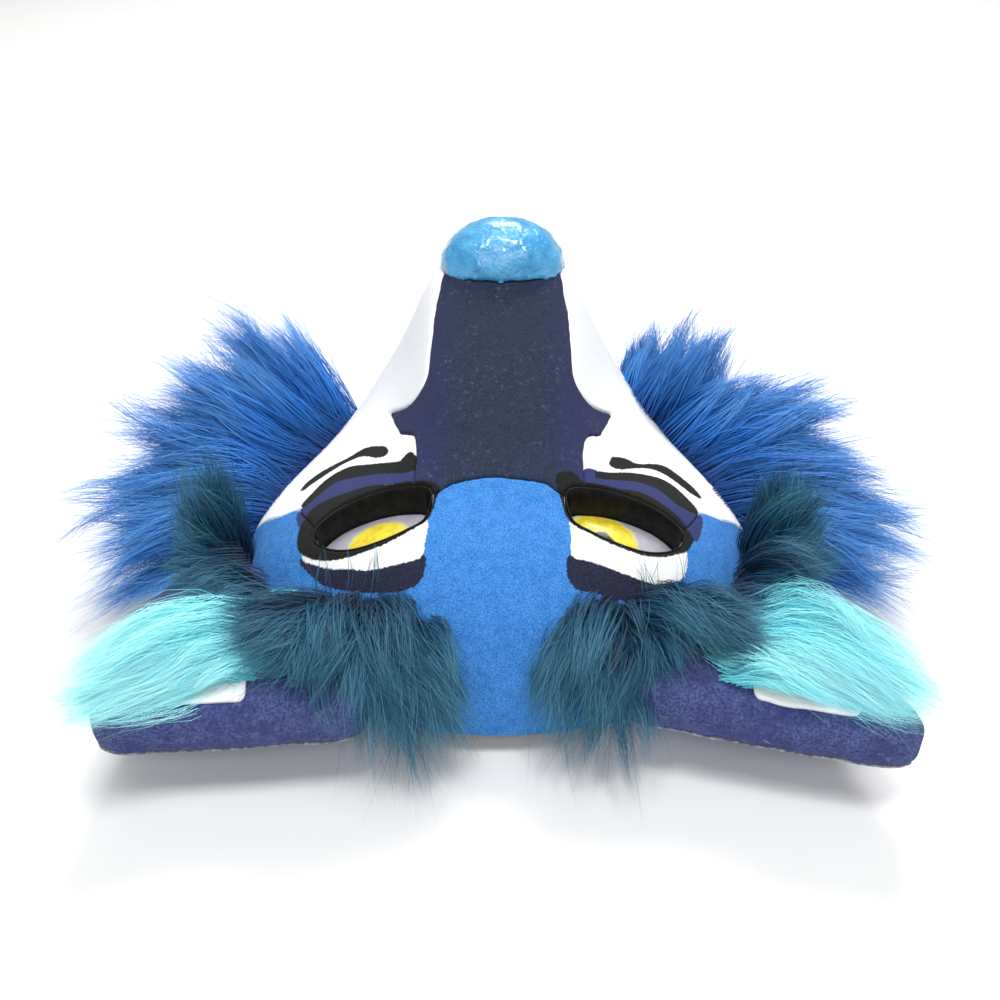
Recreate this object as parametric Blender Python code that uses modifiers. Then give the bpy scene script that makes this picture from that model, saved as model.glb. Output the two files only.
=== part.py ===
"""A fur-trimmed canine half mask, lying face up on its rim.

The output is in metres with +Z up. The muzzle points toward +Y and up, the forehead rim is toward -Y. Tables and
named sizes are in centimetres, because the mask is about thirty of them wide. In the tables x = 0 is the middle of
the face; MIDDLE then brings the middle of the whole piece to the origin. The right-hand piece of each pair is drawn,
and the left-hand one is its mirror image unless a table says otherwise.
"""

import math
from collections import namedtuple

import bmesh
import bpy
import numpy as np
from mathutils import Vector
from mathutils.bvhtree import BVHTree

CM = 0.01
MIDDLE = (-0.215, -1.30)  # the middle of the whole piece in the tables' own x and y

SHELL_WALL = 0.18
FELT = 0.15
UNDER_FELT = 0.045
FELT_HEM = 0.06  # the felt stops this far above the table
GAP = 0.03
FELT_TOP = UNDER_FELT + FELT

SOCKET_WALL = 0.14
SOCKET_DEPTH = 1.35
EYE_HOLE_LOW = 0.5
PANEL_DEPTH = 0.95
PANEL = 0.12
PANEL_DOME = 0.22
PANEL_RINGS = (1, 0.7, 0.4, 0.08)  # sizes of the panel's rings, from its edge to its middle

EAR_LOW = 1.75
EAR_TOP = 3.45
EAR_ROUND = 0.32
EAR_ROUND_STEPS = 2
EAR_EDGE_ANGLE = math.radians(50)
LINING = 0.12
EAR_FUR_BACKING = 0.22
FUR_BACKING = 0.3
CHEEK_FUR_LOW = 0.25  # the cheek fur stops this far above the table

# Plan outlines and heights that reach past the mask on every side.
ALL_ROUND = ((-20, -20), (20, -20), (20, 20), (-20, 20))
BELOW = -5
ABOVE = 14
FILL_LOW = -3

SPLIT_ANGLE = math.radians(40)

Row = namedtuple(
    "Row", "y bow crest shoulder_x shoulder_z flank_x flank_z cheek_x cheek_z rim_x rim_z"
)

# Cross-sections of the face from the forehead rim to the lip. bow is how much farther toward the muzzle a
# section's ends lie than its middle. A rim below zero is cut level with the table.
ROWS = (
    Row(-7.60, 2.6, 0.7, 3.0, 0.65, 4.8, 0.5, 6.3, 0.1, 7.0, -0.3),
    Row(-7.45, 2.6, 2.2, 3.0, 2.2, 5.0, 1.9, 6.7, 1.2, 7.2, -0.3),
    Row(-6.60, 2.5, 3.9, 3.0, 3.8, 5.3, 3.3, 7.2, 2.2, 7.7, -0.3),
    Row(-4.90, 2.2, 5.1, 3.0, 5.0, 5.6, 4.5, 7.7, 2.9, 8.1, -0.3),
    Row(-3.00, 1.8, 5.7, 2.6, 5.6, 5.2, 5.0, 7.9, 3.2, 8.3, -0.3),
    Row(-1.20, 1.3, 6.4, 2.2, 6.3, 4.2, 4.9, 7.6, 3.4, 8.4, -0.3),
    Row(0.60, 0.8, 7.3, 2.2, 7.1, 3.6, 5.0, 7.0, 3.5, 8.3, -0.3),
    Row(2.30, 0.3, 8.1, 2.2, 7.9, 3.5, 5.4, 6.2, 3.6, 7.7, 0.2),
    Row(3.90, 0.0, 8.8, 2.2, 8.6, 3.4, 6.0, 5.3, 3.9, 6.6, 1.2),
    Row(5.20, -0.3, 9.3, 2.2, 9.1, 3.2, 6.8, 4.5, 4.6, 5.4, 2.6),
    Row(6.20, -0.5, 9.2, 2.2, 8.9, 3.0, 7.0, 3.9, 5.4, 4.4, 4.0),
    Row(6.80, -0.6, 7.6, 2.0, 7.4, 2.7, 6.3, 3.3, 5.4, 3.7, 4.6),
    Row(7.05, -0.6, 5.6, 1.8, 5.5, 2.4, 5.3, 3.0, 5.0, 3.5, 4.6),
)
LAST_ROW = len(ROWS) - 1

# Plan outlines on the right of the face, as x and y.
EYE = (
    (2.00, -2.75), (2.75, -2.45), (3.70, -2.38), (4.70, -2.55), (5.35, -2.92), (5.65, -3.32),
    (5.48, -3.82), (4.95, -4.22), (4.25, -4.43), (3.45, -4.38), (2.72, -4.16), (2.12, -3.76),
)
FOREHEAD_EDGE = (
    (0.00, -2.42), (0.65, -2.45), (1.40, -2.58), (2.05, -3.05), (3.80, -3.30), (5.60, -3.20),
    (6.10, -2.35), (6.35, -1.80), (7.10, -1.55), (8.20, -0.55), (10.0, 0.80),
)
BRIDGE_EDGE = (
    (1.95, 5.40), (2.25, 3.70), (2.35, 2.40), (2.42, 1.40), (2.70, 1.15), (3.10, 1.30), (3.78, 1.95),
    (3.50, 1.10), (3.25, 0.28), (2.66, -0.70), (2.60, -3.50),
)

NOSE_CENTRE_Y = 5.85
NOSE_HALF_WIDTH = 2.2
NOSE_HALF_LENGTH = 1.5
NOSE_TOP = 10.9
NOSE_WIDEST = 9.2
NOSE_LOW = 7.5
NOSE_RINGS = (NOSE_LOW, 8.2, NOSE_WIDEST, 9.8, 10.25, 10.6, 10.82, NOSE_TOP)
NOSE_TAPER = 0.12
NOSE_SQUARENESS = 2.6
NOSE_DOME = 2.0
NOSE_CORNERS = 20

EAR_OUTLINE = {
    "right": (
        (3.00, -7.80), (3.70, -8.40), (7.00, -9.25), (10.5, -9.95), (11.35, -9.85), (11.40, -9.25),
        (10.85, -7.90), (10.45, -6.60), (10.30, -5.10), (9.75, -3.70), (8.80, -2.80), (6.50, -3.20),
        (5.00, -5.00), (3.20, -6.60),
    ),
    "left": (
        (3.50, -8.90), (4.40, -9.30), (7.50, -9.55), (10.2, -9.75), (10.95, -9.50), (11.05, -8.80),
        (10.90, -7.70), (10.80, -5.40), (10.0, -3.80), (8.80, -2.80), (6.50, -3.20), (5.00, -5.00),
        (3.40, -7.00),
    ),
}
LINING_OUTLINE = {
    "right": (
        (4.90, -8.30), (7.00, -8.85), (9.50, -9.40), (9.90, -8.30), (9.90, -6.60), (9.60, -5.20),
        (8.60, -5.00), (6.90, -6.30), (5.20, -7.50),
    ),
    "left": (
        (4.90, -8.90), (7.00, -9.12), (9.60, -9.30), (10.2, -8.00), (10.2, -6.20), (9.70, -5.00),
        (8.60, -5.00), (6.90, -6.30), (5.20, -7.50),
    ),
}
EAR_FUR_PATCH = ((6.75, -8.50), (8.80, -8.80), (9.30, -7.60), (9.00, -6.80), (7.10, -6.30))

# The three furs meet at upright faces: these outlines part them.
EAR_FUR_SIDE = (
    (6.20, -12.0), (6.45, -7.50), (6.90, -5.85), (9.70, -6.40), (14.0, -7.60), (14.0, -12.0),
)
CHEEK_FUR_SIDE = ((2.00, 1.70), (8.00, -1.60), (18.0, -7.10), (18.0, 12.0), (2.00, 12.0))

Lock = namedtuple("Lock", "x y z tip_x tip_y tip_z width depth lift")

# Each lock runs from a root to a tip. lift bows its middle upward.
CHEEK_LOCKS = (
    Lock(5.3, 5.2, 3.2, 5.6, 6.2, 7.2, 1.62, 1.17, 0.0),
    Lock(5.6, 5.0, 3.0, 7.5, 6.3, 7.3, 2.12, 1.43, 0.2),
    Lock(6.0, 4.6, 2.8, 9.2, 5.9, 6.9, 2.38, 1.56, 0.3),
    Lock(6.3, 4.2, 2.6, 11.7, 5.2, 6.3, 2.38, 1.69, 0.4),
    Lock(6.7, 3.6, 2.4, 13.3, 3.9, 5.1, 2.38, 1.69, 0.5),
    Lock(7.1, 2.8, 2.3, 14.2, 2.0, 3.5, 2.38, 1.69, 0.5),
    Lock(7.5, 1.9, 2.2, 14.7, 0.5, 2.8, 2.38, 1.69, 0.5),
    Lock(7.8, 1.1, 2.1, 14.7, -1.1, 2.2, 2.25, 1.56, 0.5),
    Lock(8.1, 0.3, 2.0, 14.3, -2.6, 1.6, 2.12, 1.43, 0.5),
    Lock(8.2, -0.2, 1.8, 13.1, -3.6, 1.0, 1.75, 1.17, 0.4),
    Lock(6.1, 4.0, 3.0, 8.7, 4.4, 6.4, 2.38, 1.56, 0.2),
    Lock(6.7, 3.1, 2.9, 10.9, 3.2, 5.3, 2.5, 1.56, 0.3),
    Lock(7.3, 1.9, 2.8, 12.2, 1.3, 4.1, 2.5, 1.56, 0.4),
    Lock(7.8, 0.7, 2.6, 12.4, -0.8, 3.3, 2.38, 1.56, 0.4),
)
TEMPLE_LOCKS = (
    Lock(2.5, -6.7, 3.1, 0.4, -7.9, 1.5, 1.65, 0.94, 0.4),
    Lock(2.8, -6.9, 2.4, 1.4, -8.8, 0.8, 1.65, 1.08, 0.5),
    Lock(3.3, -6.8, 2.6, 2.7, -9.1, 0.8, 1.8, 1.08, 0.5),
    Lock(3.9, -6.5, 3.0, 3.9, -9.7, 1.7, 1.95, 1.08, 0.7),
    Lock(4.4, -6.2, 3.6, 5.2, -9.6, 3.9, 2.1, 1.08, 0.5),
    Lock(5.0, -5.9, 3.8, 6.1, -8.4, 4.3, 2.1, 1.22, 0.4),
    Lock(2.8, -6.2, 3.8, 0.9, -7.5, 3.2, 1.65, 0.94, 0.3),
    Lock(3.6, -5.9, 4.0, 2.1, -8.0, 3.9, 2.1, 1.22, 0.5),
    Lock(4.6, -5.6, 4.1, 3.9, -7.9, 4.6, 2.25, 1.22, 0.4),
    Lock(5.8, -5.3, 3.8, 7.3, -6.2, 4.8, 2.1, 1.22, 0.3),
    Lock(6.6, -4.7, 3.6, 8.9, -5.9, 4.5, 2.1, 1.22, 0.3),
    Lock(7.2, -4.0, 3.4, 10.2, -5.2, 4.2, 2.1, 1.22, 0.3),
    Lock(7.6, -3.4, 3.2, 10.3, -4.1, 4.9, 2.1, 1.22, 0.3),
    Lock(7.9, -2.8, 3.0, 9.9, -3.2, 5.8, 2.1, 1.22, 0.2),
    Lock(8.0, -2.3, 2.8, 8.9, -2.7, 6.6, 1.95, 1.08, 0.0),
)
EAR_LOCKS = (
    Lock(7.1, -6.5, 3.9, 10.1, -7.1, 4.3, 1.4, 0.65, 0.2),
    Lock(7.1, -7.0, 4.0, 10.9, -8.0, 4.4, 1.54, 0.78, 0.3),
    Lock(7.1, -7.5, 4.0, 11.6, -9.0, 4.2, 1.68, 0.91, 0.3),
    Lock(7.1, -8.0, 4.0, 11.9, -9.7, 3.9, 1.54, 0.78, 0.3),
    Lock(7.1, -8.4, 3.95, 10.6, -9.4, 4.1, 1.26, 0.65, 0.2),
)
LOCK_PROFILE = ((0.0, 0.7), (0.35, 1.0), (0.75, 0.5))
LOCK_SIDES = 5
LOCK_FLAT = (0, -0.45, 0.9)  # the way that a lock's flat side faces
SPREAD = {"left": 1.06, "right": 1.0}

# Fur backings on the face, as (row, place across) pairs along the edge nearer the middle of the face, then along
# the edge nearer the rim.
CHEEK_BACKING = (
    ((9.3, 0.72), (8.4, 0.75), (7.4, 0.78), (6.4, 0.80), (5.3, 0.81), (4.7, 0.82)),
    ((9.3, 0.90), (8.4, 0.92), (7.4, 0.91), (6.4, 0.90), (5.3, 0.90), (4.7, 0.90)),
)
TEMPLE_BACKING = (
    ((1.6, 0.27), (2.2, 0.38), (2.5, 0.50), (2.7, 0.62), (3.2, 0.70), (3.9, 0.75), (4.3, 0.78)),
    ((0.9, 0.30), (0.9, 0.42), (1.1, 0.58), (1.4, 0.72), (2.3, 0.82), (3.4, 0.85), (3.9, 0.88)),
)

SECTION_POINTS = 401
ACROSS = np.linspace(-1, 1, 19)
ALONG = np.arange(0, LAST_ROW + 0.25, 0.5)

Finish = namedtuple("Finish", "colour roughness")
FINISHES = {
    "shell_plastic": Finish((0.075, 0.066, 0.058), 0.55),
    "forehead_blue_felt": Finish((0.035, 0.20, 0.66), 0.95),
    "navy_felt": Finish((0.030, 0.038, 0.12), 0.95),
    "white_felt": Finish((0.86, 0.87, 0.87), 0.85),
    "socket_black": Finish((0.012, 0.012, 0.013), 0.45),
    "eye_print": Finish((0.60, 0.52, 0.10), 0.35),
    "nose_gloss": Finish((0.06, 0.36, 0.68), 0.12),
    "ear_navy_felt": Finish((0.042, 0.050, 0.17), 0.90),
    "royal_fur": Finish((0.020, 0.125, 0.50), 0.60),
    "teal_fur": Finish((0.030, 0.115, 0.18), 0.60),
    "cyan_fur": Finish((0.22, 0.78, 0.86), 0.60),
}


def through_rows(at):
    """Rows at fractional places, on a smooth curve through the table's rows."""
    rows = np.array(ROWS, float)
    first = np.minimum(at.astype(int), LAST_ROW - 1)
    f = (at - first)[:, None]
    a = rows[np.maximum(first - 1, 0)]
    b = rows[first]
    c = rows[first + 1]
    d = rows[np.minimum(first + 2, LAST_ROW)]
    return b + 0.5 * f * (c - a + f * (2 * a - 5 * b + 4 * c - d + f * (3 * b - a - 3 * c + d)))


def rounded(points, count):
    """A smooth line near the given points that meets the first and the last."""
    ends = np.concatenate([[2 * points[0] - points[1]], points, [2 * points[-1] - points[-2]]])
    s = np.linspace(0, len(points) - 1, count)
    i = np.minimum(s.astype(int), len(points) - 2)
    f = (s - i)[:, None]
    a = (1 - f) ** 3
    b = 3 * f**3 - 6 * f**2 + 4
    c = -3 * f**3 + 3 * f**2 + 3 * f + 1
    return (a * ends[i] + b * ends[i + 1] + c * ends[i + 2] + f**3 * ends[i + 3]) / 6


def section(values, across):
    """Points of one cross-section, where across runs from -1 at the left rim to 1 at the right."""
    row = Row(*values)
    half = np.array([
        (0, row.crest),
        (0.75 * row.shoulder_x, row.crest),
        (row.shoulder_x, row.shoulder_z),
        (row.flank_x, row.flank_z),
        (row.cheek_x, row.cheek_z),
        (row.rim_x, (row.cheek_z + row.rim_z) / 2),
        (row.rim_x, row.rim_z),
    ])
    line = rounded(np.concatenate([half[:0:-1] * [-1, 1], half]), SECTION_POINTS)
    run = np.concatenate([[0], np.cumsum(np.linalg.norm(np.diff(line, axis=0), axis=1))])
    run = 2 * run / run[-1] - 1
    x = np.interp(across, run, line[:, 0])
    z = np.interp(across, run, line[:, 1])
    return np.stack([x, row.y + row.bow * (x / row.rim_x) ** 2, z], 1)


def face_grid(along, across):
    return np.stack([section(values, across) for values in through_rows(along)])


def raised(grid, amount):
    """The grid moved outward along its own normals."""
    normal = np.cross(np.gradient(grid, axis=1), np.gradient(grid, axis=0))
    normal /= np.linalg.norm(normal, axis=-1, keepdims=True)
    return grid + amount * normal


def face_points(places):
    """Single points of the face at (row, place across) pairs."""
    return np.array([face_grid(np.array([v]), np.array([u]))[0, 0] for v, u in places])


def collection(name):
    found = bpy.data.collections.new(name)
    bpy.context.scene.collection.children.link(found)
    return found


def add(name, points, faces, where):
    """A closed mesh from points in centimetres, its faces turned outward."""
    mesh = bpy.data.meshes.new(name)
    placed = (np.asarray(points, float) - [*MIDDLE, 0]) * CM
    mesh.from_pydata(placed.tolist(), [], faces)
    shape = bmesh.new()
    shape.from_mesh(mesh)
    bmesh.ops.recalc_face_normals(shape, faces=shape.faces)
    shape.to_mesh(mesh)
    shape.free()
    obj = bpy.data.objects.new(name, mesh)
    where.objects.link(obj)
    return obj


def add_cutter(name, points, faces):
    obj = add(name, points, faces, CUTTERS)
    obj.hide_render = True
    obj.display_type = "WIRE"
    return obj


def between(lower, upper):
    """Points and faces of the solid between two grids of one size."""
    rows, columns = lower.shape[:2]
    count = rows * columns
    faces = []
    for i in range(rows - 1):
        for j in range(columns - 1):
            a = i * columns + j
            c = a + columns + 1
            for triangle in ((a, a + 1, c), (a, c, c - 1)):
                faces.append([k + count for k in triangle])
                faces.append(triangle[::-1])
    edge = [j for j in range(columns - 1)]
    edge += [i * columns + columns - 1 for i in range(rows - 1)]
    edge += [(rows - 1) * columns + j for j in range(columns - 1, 0, -1)]
    edge += [i * columns for i in range(rows - 1, 0, -1)]
    for a, b in zip(edge, edge[1:] + edge[:1]):
        faces.append((a, b, b + count, a + count))
    return np.concatenate([lower.reshape(-1, 3), upper.reshape(-1, 3)]), faces


def rings_solid(rings, closed_ends=True):
    """Points and faces of a loft through rings of one size, capped, or joined end to end as a tube."""
    size = len(rings[0])
    faces = []
    last = len(rings) - 1 if closed_ends else len(rings)
    for k in range(last):
        low = k * size
        high = (k + 1) % len(rings) * size
        for j in range(size):
            n = (j + 1) % size
            faces.append((low + j, low + n, high + n, high + j))
    if closed_ends:
        faces.append(tuple(range(size))[::-1])
        faces.append(tuple(range((len(rings) - 1) * size, len(rings) * size)))
    return np.concatenate(rings), faces


def at_height(outline, height):
    outline = np.asarray(outline, float)
    return np.column_stack([outline, np.broadcast_to(height, len(outline))])


def prism(outline, low, high):
    return rings_solid([at_height(outline, low), at_height(outline, high)])


def mirrored(points):
    """The left-hand twin of right-hand points."""
    points = np.array(points, float)
    points[:, 0] *= -1
    return points


def on_side(side, points):
    return np.array(points, float) if side == "right" else mirrored(points)


def grown(outline, amount):
    """A plan outline moved outward by amount, each corner along its two edges' normals."""
    points = np.asarray(outline, float)
    before = points - np.roll(points, 1, axis=0)
    after = np.roll(points, -1, axis=0) - points
    area = np.sum(points[:, 0] * np.roll(points[:, 1], -1) - np.roll(points[:, 0], -1) * points[:, 1])
    turn = 1 if area > 0 else -1
    sides = []
    for step in (before, after):
        step = step / np.linalg.norm(step, axis=1, keepdims=True)
        sides.append(turn * np.column_stack([step[:, 1], -step[:, 0]]))
    both = sides[0] + sides[1]
    both /= np.linalg.norm(both, axis=1, keepdims=True)
    stretch = np.maximum(np.sum(both * sides[0], axis=1, keepdims=True), 0.5)
    return points + amount * both / stretch


def rounded_ring(outline, per_edge):
    """A closed smooth curve through an outline's points."""
    points = np.asarray(outline, float)
    a = np.roll(points, 1, axis=0)
    c = np.roll(points, -1, axis=0)
    d = np.roll(points, -2, axis=0)
    out = []
    for f in np.arange(per_edge) / per_edge:
        bend = 2 * a - 5 * points + 4 * c - d + f * (3 * points - a - 3 * c + d)
        out.append(points + 0.5 * f * (c - a + f * bend))
    return np.stack(out, axis=1).reshape(-1, 2)


def shaped(obj, *steps):
    """The object after a chain of cuts and joins, as a plain mesh. A step that leaves nothing is done another way."""
    for operation, other in steps:
        before = obj.data
        for solver in ("EXACT", "MANIFOLD"):
            step = obj.modifiers.new(operation, "BOOLEAN")
            step.operation = operation
            step.object = other
            step.solver = solver
            settled(obj)
            if obj.data.polygons:
                break
            obj.data = before
    return obj


def settled(obj):
    bpy.context.view_layer.update()
    result = obj.evaluated_get(bpy.context.evaluated_depsgraph_get())
    mesh = bpy.data.meshes.new_from_object(result)
    obj.modifiers.clear()
    obj.data = mesh
    return obj


def islands(shape):
    """The mesh's connected pieces, as lists of faces."""
    left = set(shape.faces)
    found = []
    while left:
        waiting = [left.pop()]
        piece = []
        while waiting:
            face = waiting.pop()
            piece.append(face)
            for edge in face.edges:
                for other in edge.link_faces:
                    if other in left:
                        left.remove(other)
                        waiting.append(other)
        found.append(piece)
    return found


def enclosed(piece):
    """Six times the signed volume inside a piece's triangles."""
    return sum(a.co.dot(b.co.cross(c.co)) for a, b, c in (face.verts for face in piece))


def tidied(obj):
    """The one main body: slivers are merged away, and crumbs and sealed voids are dropped."""
    shape = bmesh.new()
    shape.from_mesh(obj.data)
    bmesh.ops.triangulate(shape, faces=shape.faces)
    bmesh.ops.remove_doubles(shape, verts=shape.verts, dist=2e-5)
    bmesh.ops.dissolve_degenerate(shape, edges=shape.edges, dist=1e-5)
    bmesh.ops.triangulate(shape, faces=shape.faces)
    pieces = sorted(islands(shape), key=enclosed)
    for piece in pieces[:-1]:
        bmesh.ops.delete(shape, geom=piece, context="FACES")
    shape.to_mesh(obj.data)
    shape.free()
    return obj


def dressed(obj, finish, smooth=True):
    """The object with its material, round pieces shaded smooth."""
    obj.data.materials.clear()
    obj.data.materials.append(MATERIALS[finish])
    for face in obj.data.polygons:
        face.material_index = 0
        face.use_smooth = smooth
    if smooth:
        obj.data.set_sharp_from_angle(angle=SPLIT_ANGLE)
    return obj


def material(name, finish):
    made = bpy.data.materials.new(name)
    made.use_nodes = True
    shader = made.node_tree.nodes["Principled BSDF"]
    shader.inputs["Base Color"].default_value = (*finish.colour, 1)
    shader.inputs["Roughness"].default_value = finish.roughness
    shader.inputs["Metallic"].default_value = 0
    made.diffuse_color = (*finish.colour, 1)
    return made


def lock_solid(lock, side):
    """Points and faces of one pointed lock of fur, flat across and bowed by its lift."""
    root, tip = on_side(side, [(lock.x, lock.y, lock.z), (lock.tip_x, lock.tip_y, lock.tip_z)])
    tip = root + (tip - root) * SPREAD[side]
    run = tip - root
    run_unit = run / np.linalg.norm(run)
    flat = np.cross(run_unit, LOCK_FLAT)
    flat /= np.linalg.norm(flat)
    deep = np.cross(flat, run_unit)
    turn = np.linspace(0, 2 * math.pi, LOCK_SIDES, endpoint=False)
    points = []
    for t, size in LOCK_PROFILE:
        centre = root + t * run + np.array([0, 0, 4 * lock.lift * t * (1 - t)])
        for a in turn:
            points.append(
                centre
                + size * lock.width / 2 * math.cos(a) * flat
                + size * lock.depth / 2 * math.sin(a) * deep
            )
    points.append(tip)
    rings = len(LOCK_PROFILE)
    faces = [tuple(range(LOCK_SIDES))[::-1]]
    for k in range(rings):
        for j in range(LOCK_SIDES):
            n = (j + 1) % LOCK_SIDES
            low = k * LOCK_SIDES
            if k < rings - 1:
                faces.append((low + j, low + n, low + LOCK_SIDES + n, low + LOCK_SIDES + j))
            else:
                faces.append((low + j, low + n, rings * LOCK_SIDES))
    return np.array(points), faces


def with_locks(obj, locks, side):
    """The backing with every lock fused to it in turn."""
    for number, lock in enumerate(locks):
        tuft = add_cutter(f"{obj.name}_lock_{number}", *lock_solid(lock, side))
        shaped(obj, ("UNION", tuft))
        bpy.data.objects.remove(tuft)
    return obj


def backing_on_face(name, edges, side):
    """A strip of fur backing that lies on the felt."""
    inner, outer = (face_points(places) for places in edges)
    middle = face_points([((a + c) / 2, (b + d) / 2) for (a, b), (c, d) in zip(*edges)])
    grid = np.stack([inner, middle, outer])
    low = raised(grid, GAP)
    high = raised(grid, FELT_TOP + GAP + FUR_BACKING)
    if np.mean(high - grid, axis=(0, 1))[2] < 0:
        low, high = raised(grid, -GAP), raised(grid, -FELT_TOP - GAP - FUR_BACKING)
    points, faces = between(low, high)
    return add(name, points if side == "right" else mirrored(points), faces, MASK)


for old in list(bpy.data.objects):
    bpy.data.objects.remove(old)

MASK = collection("canine_half_mask")
CUTTERS = collection("cutters")
MATERIALS = {name: material(name, finish) for name, finish in FINISHES.items()}

# The face, and the cutters that part its coverings.
face = face_grid(ALONG, ACROSS)
felt_top = raised(face, FELT_TOP)
floor_under = add_cutter("floor_under", *prism(ALL_ROUND, BELOW, 0))

filled = felt_top.copy()
filled[..., 2] = FILL_LOW
mask_volume = add_cutter("mask_volume", *between(filled, raised(face, FELT_TOP + GAP)))

height_mesh = bmesh.new()
corners = [height_mesh.verts.new(p) for p in felt_top.reshape(-1, 3)]
for row in range(len(ALONG) - 1):
    for column in range(len(ACROSS) - 1):
        corner = row * len(ACROSS) + column
        step = len(ACROSS)
        height_mesh.faces.new([corners[k] for k in (corner, corner + 1, corner + step + 1, corner + step)])
height_tree = BVHTree.FromBMesh(height_mesh)
height_mesh.free()


def felt_height(points):
    """Height of the felt's outer face over plan points."""
    down = Vector((0, 0, -1))
    found = [height_tree.ray_cast(Vector((x, y, ABOVE)), down)[0] for x, y in points]
    return np.array([hit.z for hit in found])


eye_ring = rounded_ring(EYE, 2)
eye_cutters = {}
for side in ("left", "right"):
    eye_cutters[side] = add_cutter(f"eye_hole_{side}", *prism(on_side(side, eye_ring), EYE_HOLE_LOW, ABOVE))

across_middle = list(FOREHEAD_EDGE)
across_left = [(-x, y) for x, y in across_middle[:0:-1]]
forehead_side = np.array(across_left + across_middle + [(10, -ABOVE), (-10, -ABOVE)], float)
bridge_right = list(BRIDGE_EDGE)
bridge_side = np.array([(-x, y) for x, y in bridge_right] + bridge_right[::-1], float)
forehead_tool = add_cutter("forehead_side", *prism(forehead_side, BELOW, ABOVE))
forehead_clear = add_cutter("forehead_clear", *prism(grown(forehead_side, GAP), BELOW, ABOVE))
bridge_tool = add_cutter("bridge_side", *prism(bridge_side, BELOW, ABOVE))
bridge_clear = add_cutter("bridge_clear", *prism(grown(bridge_side, GAP), BELOW, ABOVE))

# The moulded shell.
shell = add("mask_shell", *between(raised(face, -SHELL_WALL), face), MASK)
shaped(
    shell,
    ("DIFFERENCE", floor_under),
    ("DIFFERENCE", eye_cutters["left"]),
    ("DIFFERENCE", eye_cutters["right"]),
)
dressed(tidied(shell), "shell_plastic")

# The felt on it.
felt_layer = between(raised(face, UNDER_FELT), felt_top)
hem_under = add_cutter("hem_under", *prism(ALL_ROUND, BELOW, FELT_HEM))
open_eyes = (
    ("DIFFERENCE", hem_under),
    ("DIFFERENCE", eye_cutters["left"]),
    ("DIFFERENCE", eye_cutters["right"]),
)
forehead = add("forehead_felt", *felt_layer, MASK)
shaped(forehead, ("INTERSECT", forehead_tool), *open_eyes)
dressed(tidied(forehead), "forehead_blue_felt")

bridge = add("bridge_felt", *felt_layer, MASK)
shaped(bridge, ("INTERSECT", bridge_tool), ("DIFFERENCE", forehead_clear), *open_eyes)
dressed(tidied(bridge), "navy_felt")

for side in ("left", "right"):
    half = on_side(side, [(GAP / 2, -ABOVE), (ABOVE, -ABOVE), (ABOVE, ABOVE), (GAP / 2, ABOVE)])
    half_tool = add_cutter(f"half_{side}", *prism(half, BELOW, ABOVE))
    cheek = add(f"cheek_felt_{side}", *felt_layer, MASK)
    shaped(
        cheek,
        ("INTERSECT", half_tool),
        ("DIFFERENCE", forehead_clear),
        ("DIFFERENCE", bridge_clear),
        *open_eyes,
    )
    dressed(tidied(cheek), "white_felt")

# The eyes: a tube in each hole, and a domed panel near its bottom.
for side in ("left", "right"):
    outer = on_side(side, grown(eye_ring, -GAP))
    inner = on_side(side, grown(eye_ring, -GAP - SOCKET_WALL))
    outer_top = felt_height(outer)
    inner_top = felt_height(inner)
    rings = [
        at_height(outer, outer_top - SOCKET_DEPTH),
        at_height(outer, outer_top),
        at_height(inner, inner_top),
        at_height(inner, outer_top - SOCKET_DEPTH),
    ]
    socket = add(f"eye_socket_{side}", *rings_solid(rings, closed_ends=False), MASK)
    dressed(socket, "socket_black")

    plate = on_side(side, grown(eye_ring, -2 * GAP - SOCKET_WALL))[::2]
    middle = plate.mean(axis=0)
    lower = []
    upper = []
    for reach in PANEL_RINGS:
        ring = middle + reach * (plate - middle)
        top = felt_height(ring) - PANEL_DEPTH + PANEL_DOME * (1 - reach**2)
        lower.append(at_height(ring, top - PANEL))
        upper.append(at_height(ring, top))
    panel = add(f"eye_panel_{side}", *rings_solid(lower[::-1] + upper), MASK)
    dressed(panel, "eye_print")

# The nose pad, hollowed by the muzzle it sits on.
turn = np.linspace(0, 2 * math.pi, NOSE_CORNERS, endpoint=False)
corner_x = np.sign(np.cos(turn)) * np.abs(np.cos(turn)) ** (2 / NOSE_SQUARENESS)
corner_y = np.sign(np.sin(turn)) * np.abs(np.sin(turn)) ** (2 / NOSE_SQUARENESS)
rings = []
for z in NOSE_RINGS:
    if z > NOSE_WIDEST:
        size = (1 - ((z - NOSE_WIDEST) / (NOSE_TOP + 0.02 - NOSE_WIDEST)) ** NOSE_DOME) ** (1 / NOSE_DOME)
    else:
        size = 1 - NOSE_TAPER * ((NOSE_WIDEST - z) / (NOSE_WIDEST - NOSE_LOW)) ** 2
    outline = np.column_stack([
        NOSE_HALF_WIDTH * size * corner_x,
        NOSE_CENTRE_Y + NOSE_HALF_LENGTH * size * corner_y,
    ])
    rings.append(at_height(outline, z))
nose = add("nose", *rings_solid(rings), MASK)
shaped(nose, ("DIFFERENCE", mask_volume))
dressed(tidied(nose), "nose_gloss")

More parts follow.
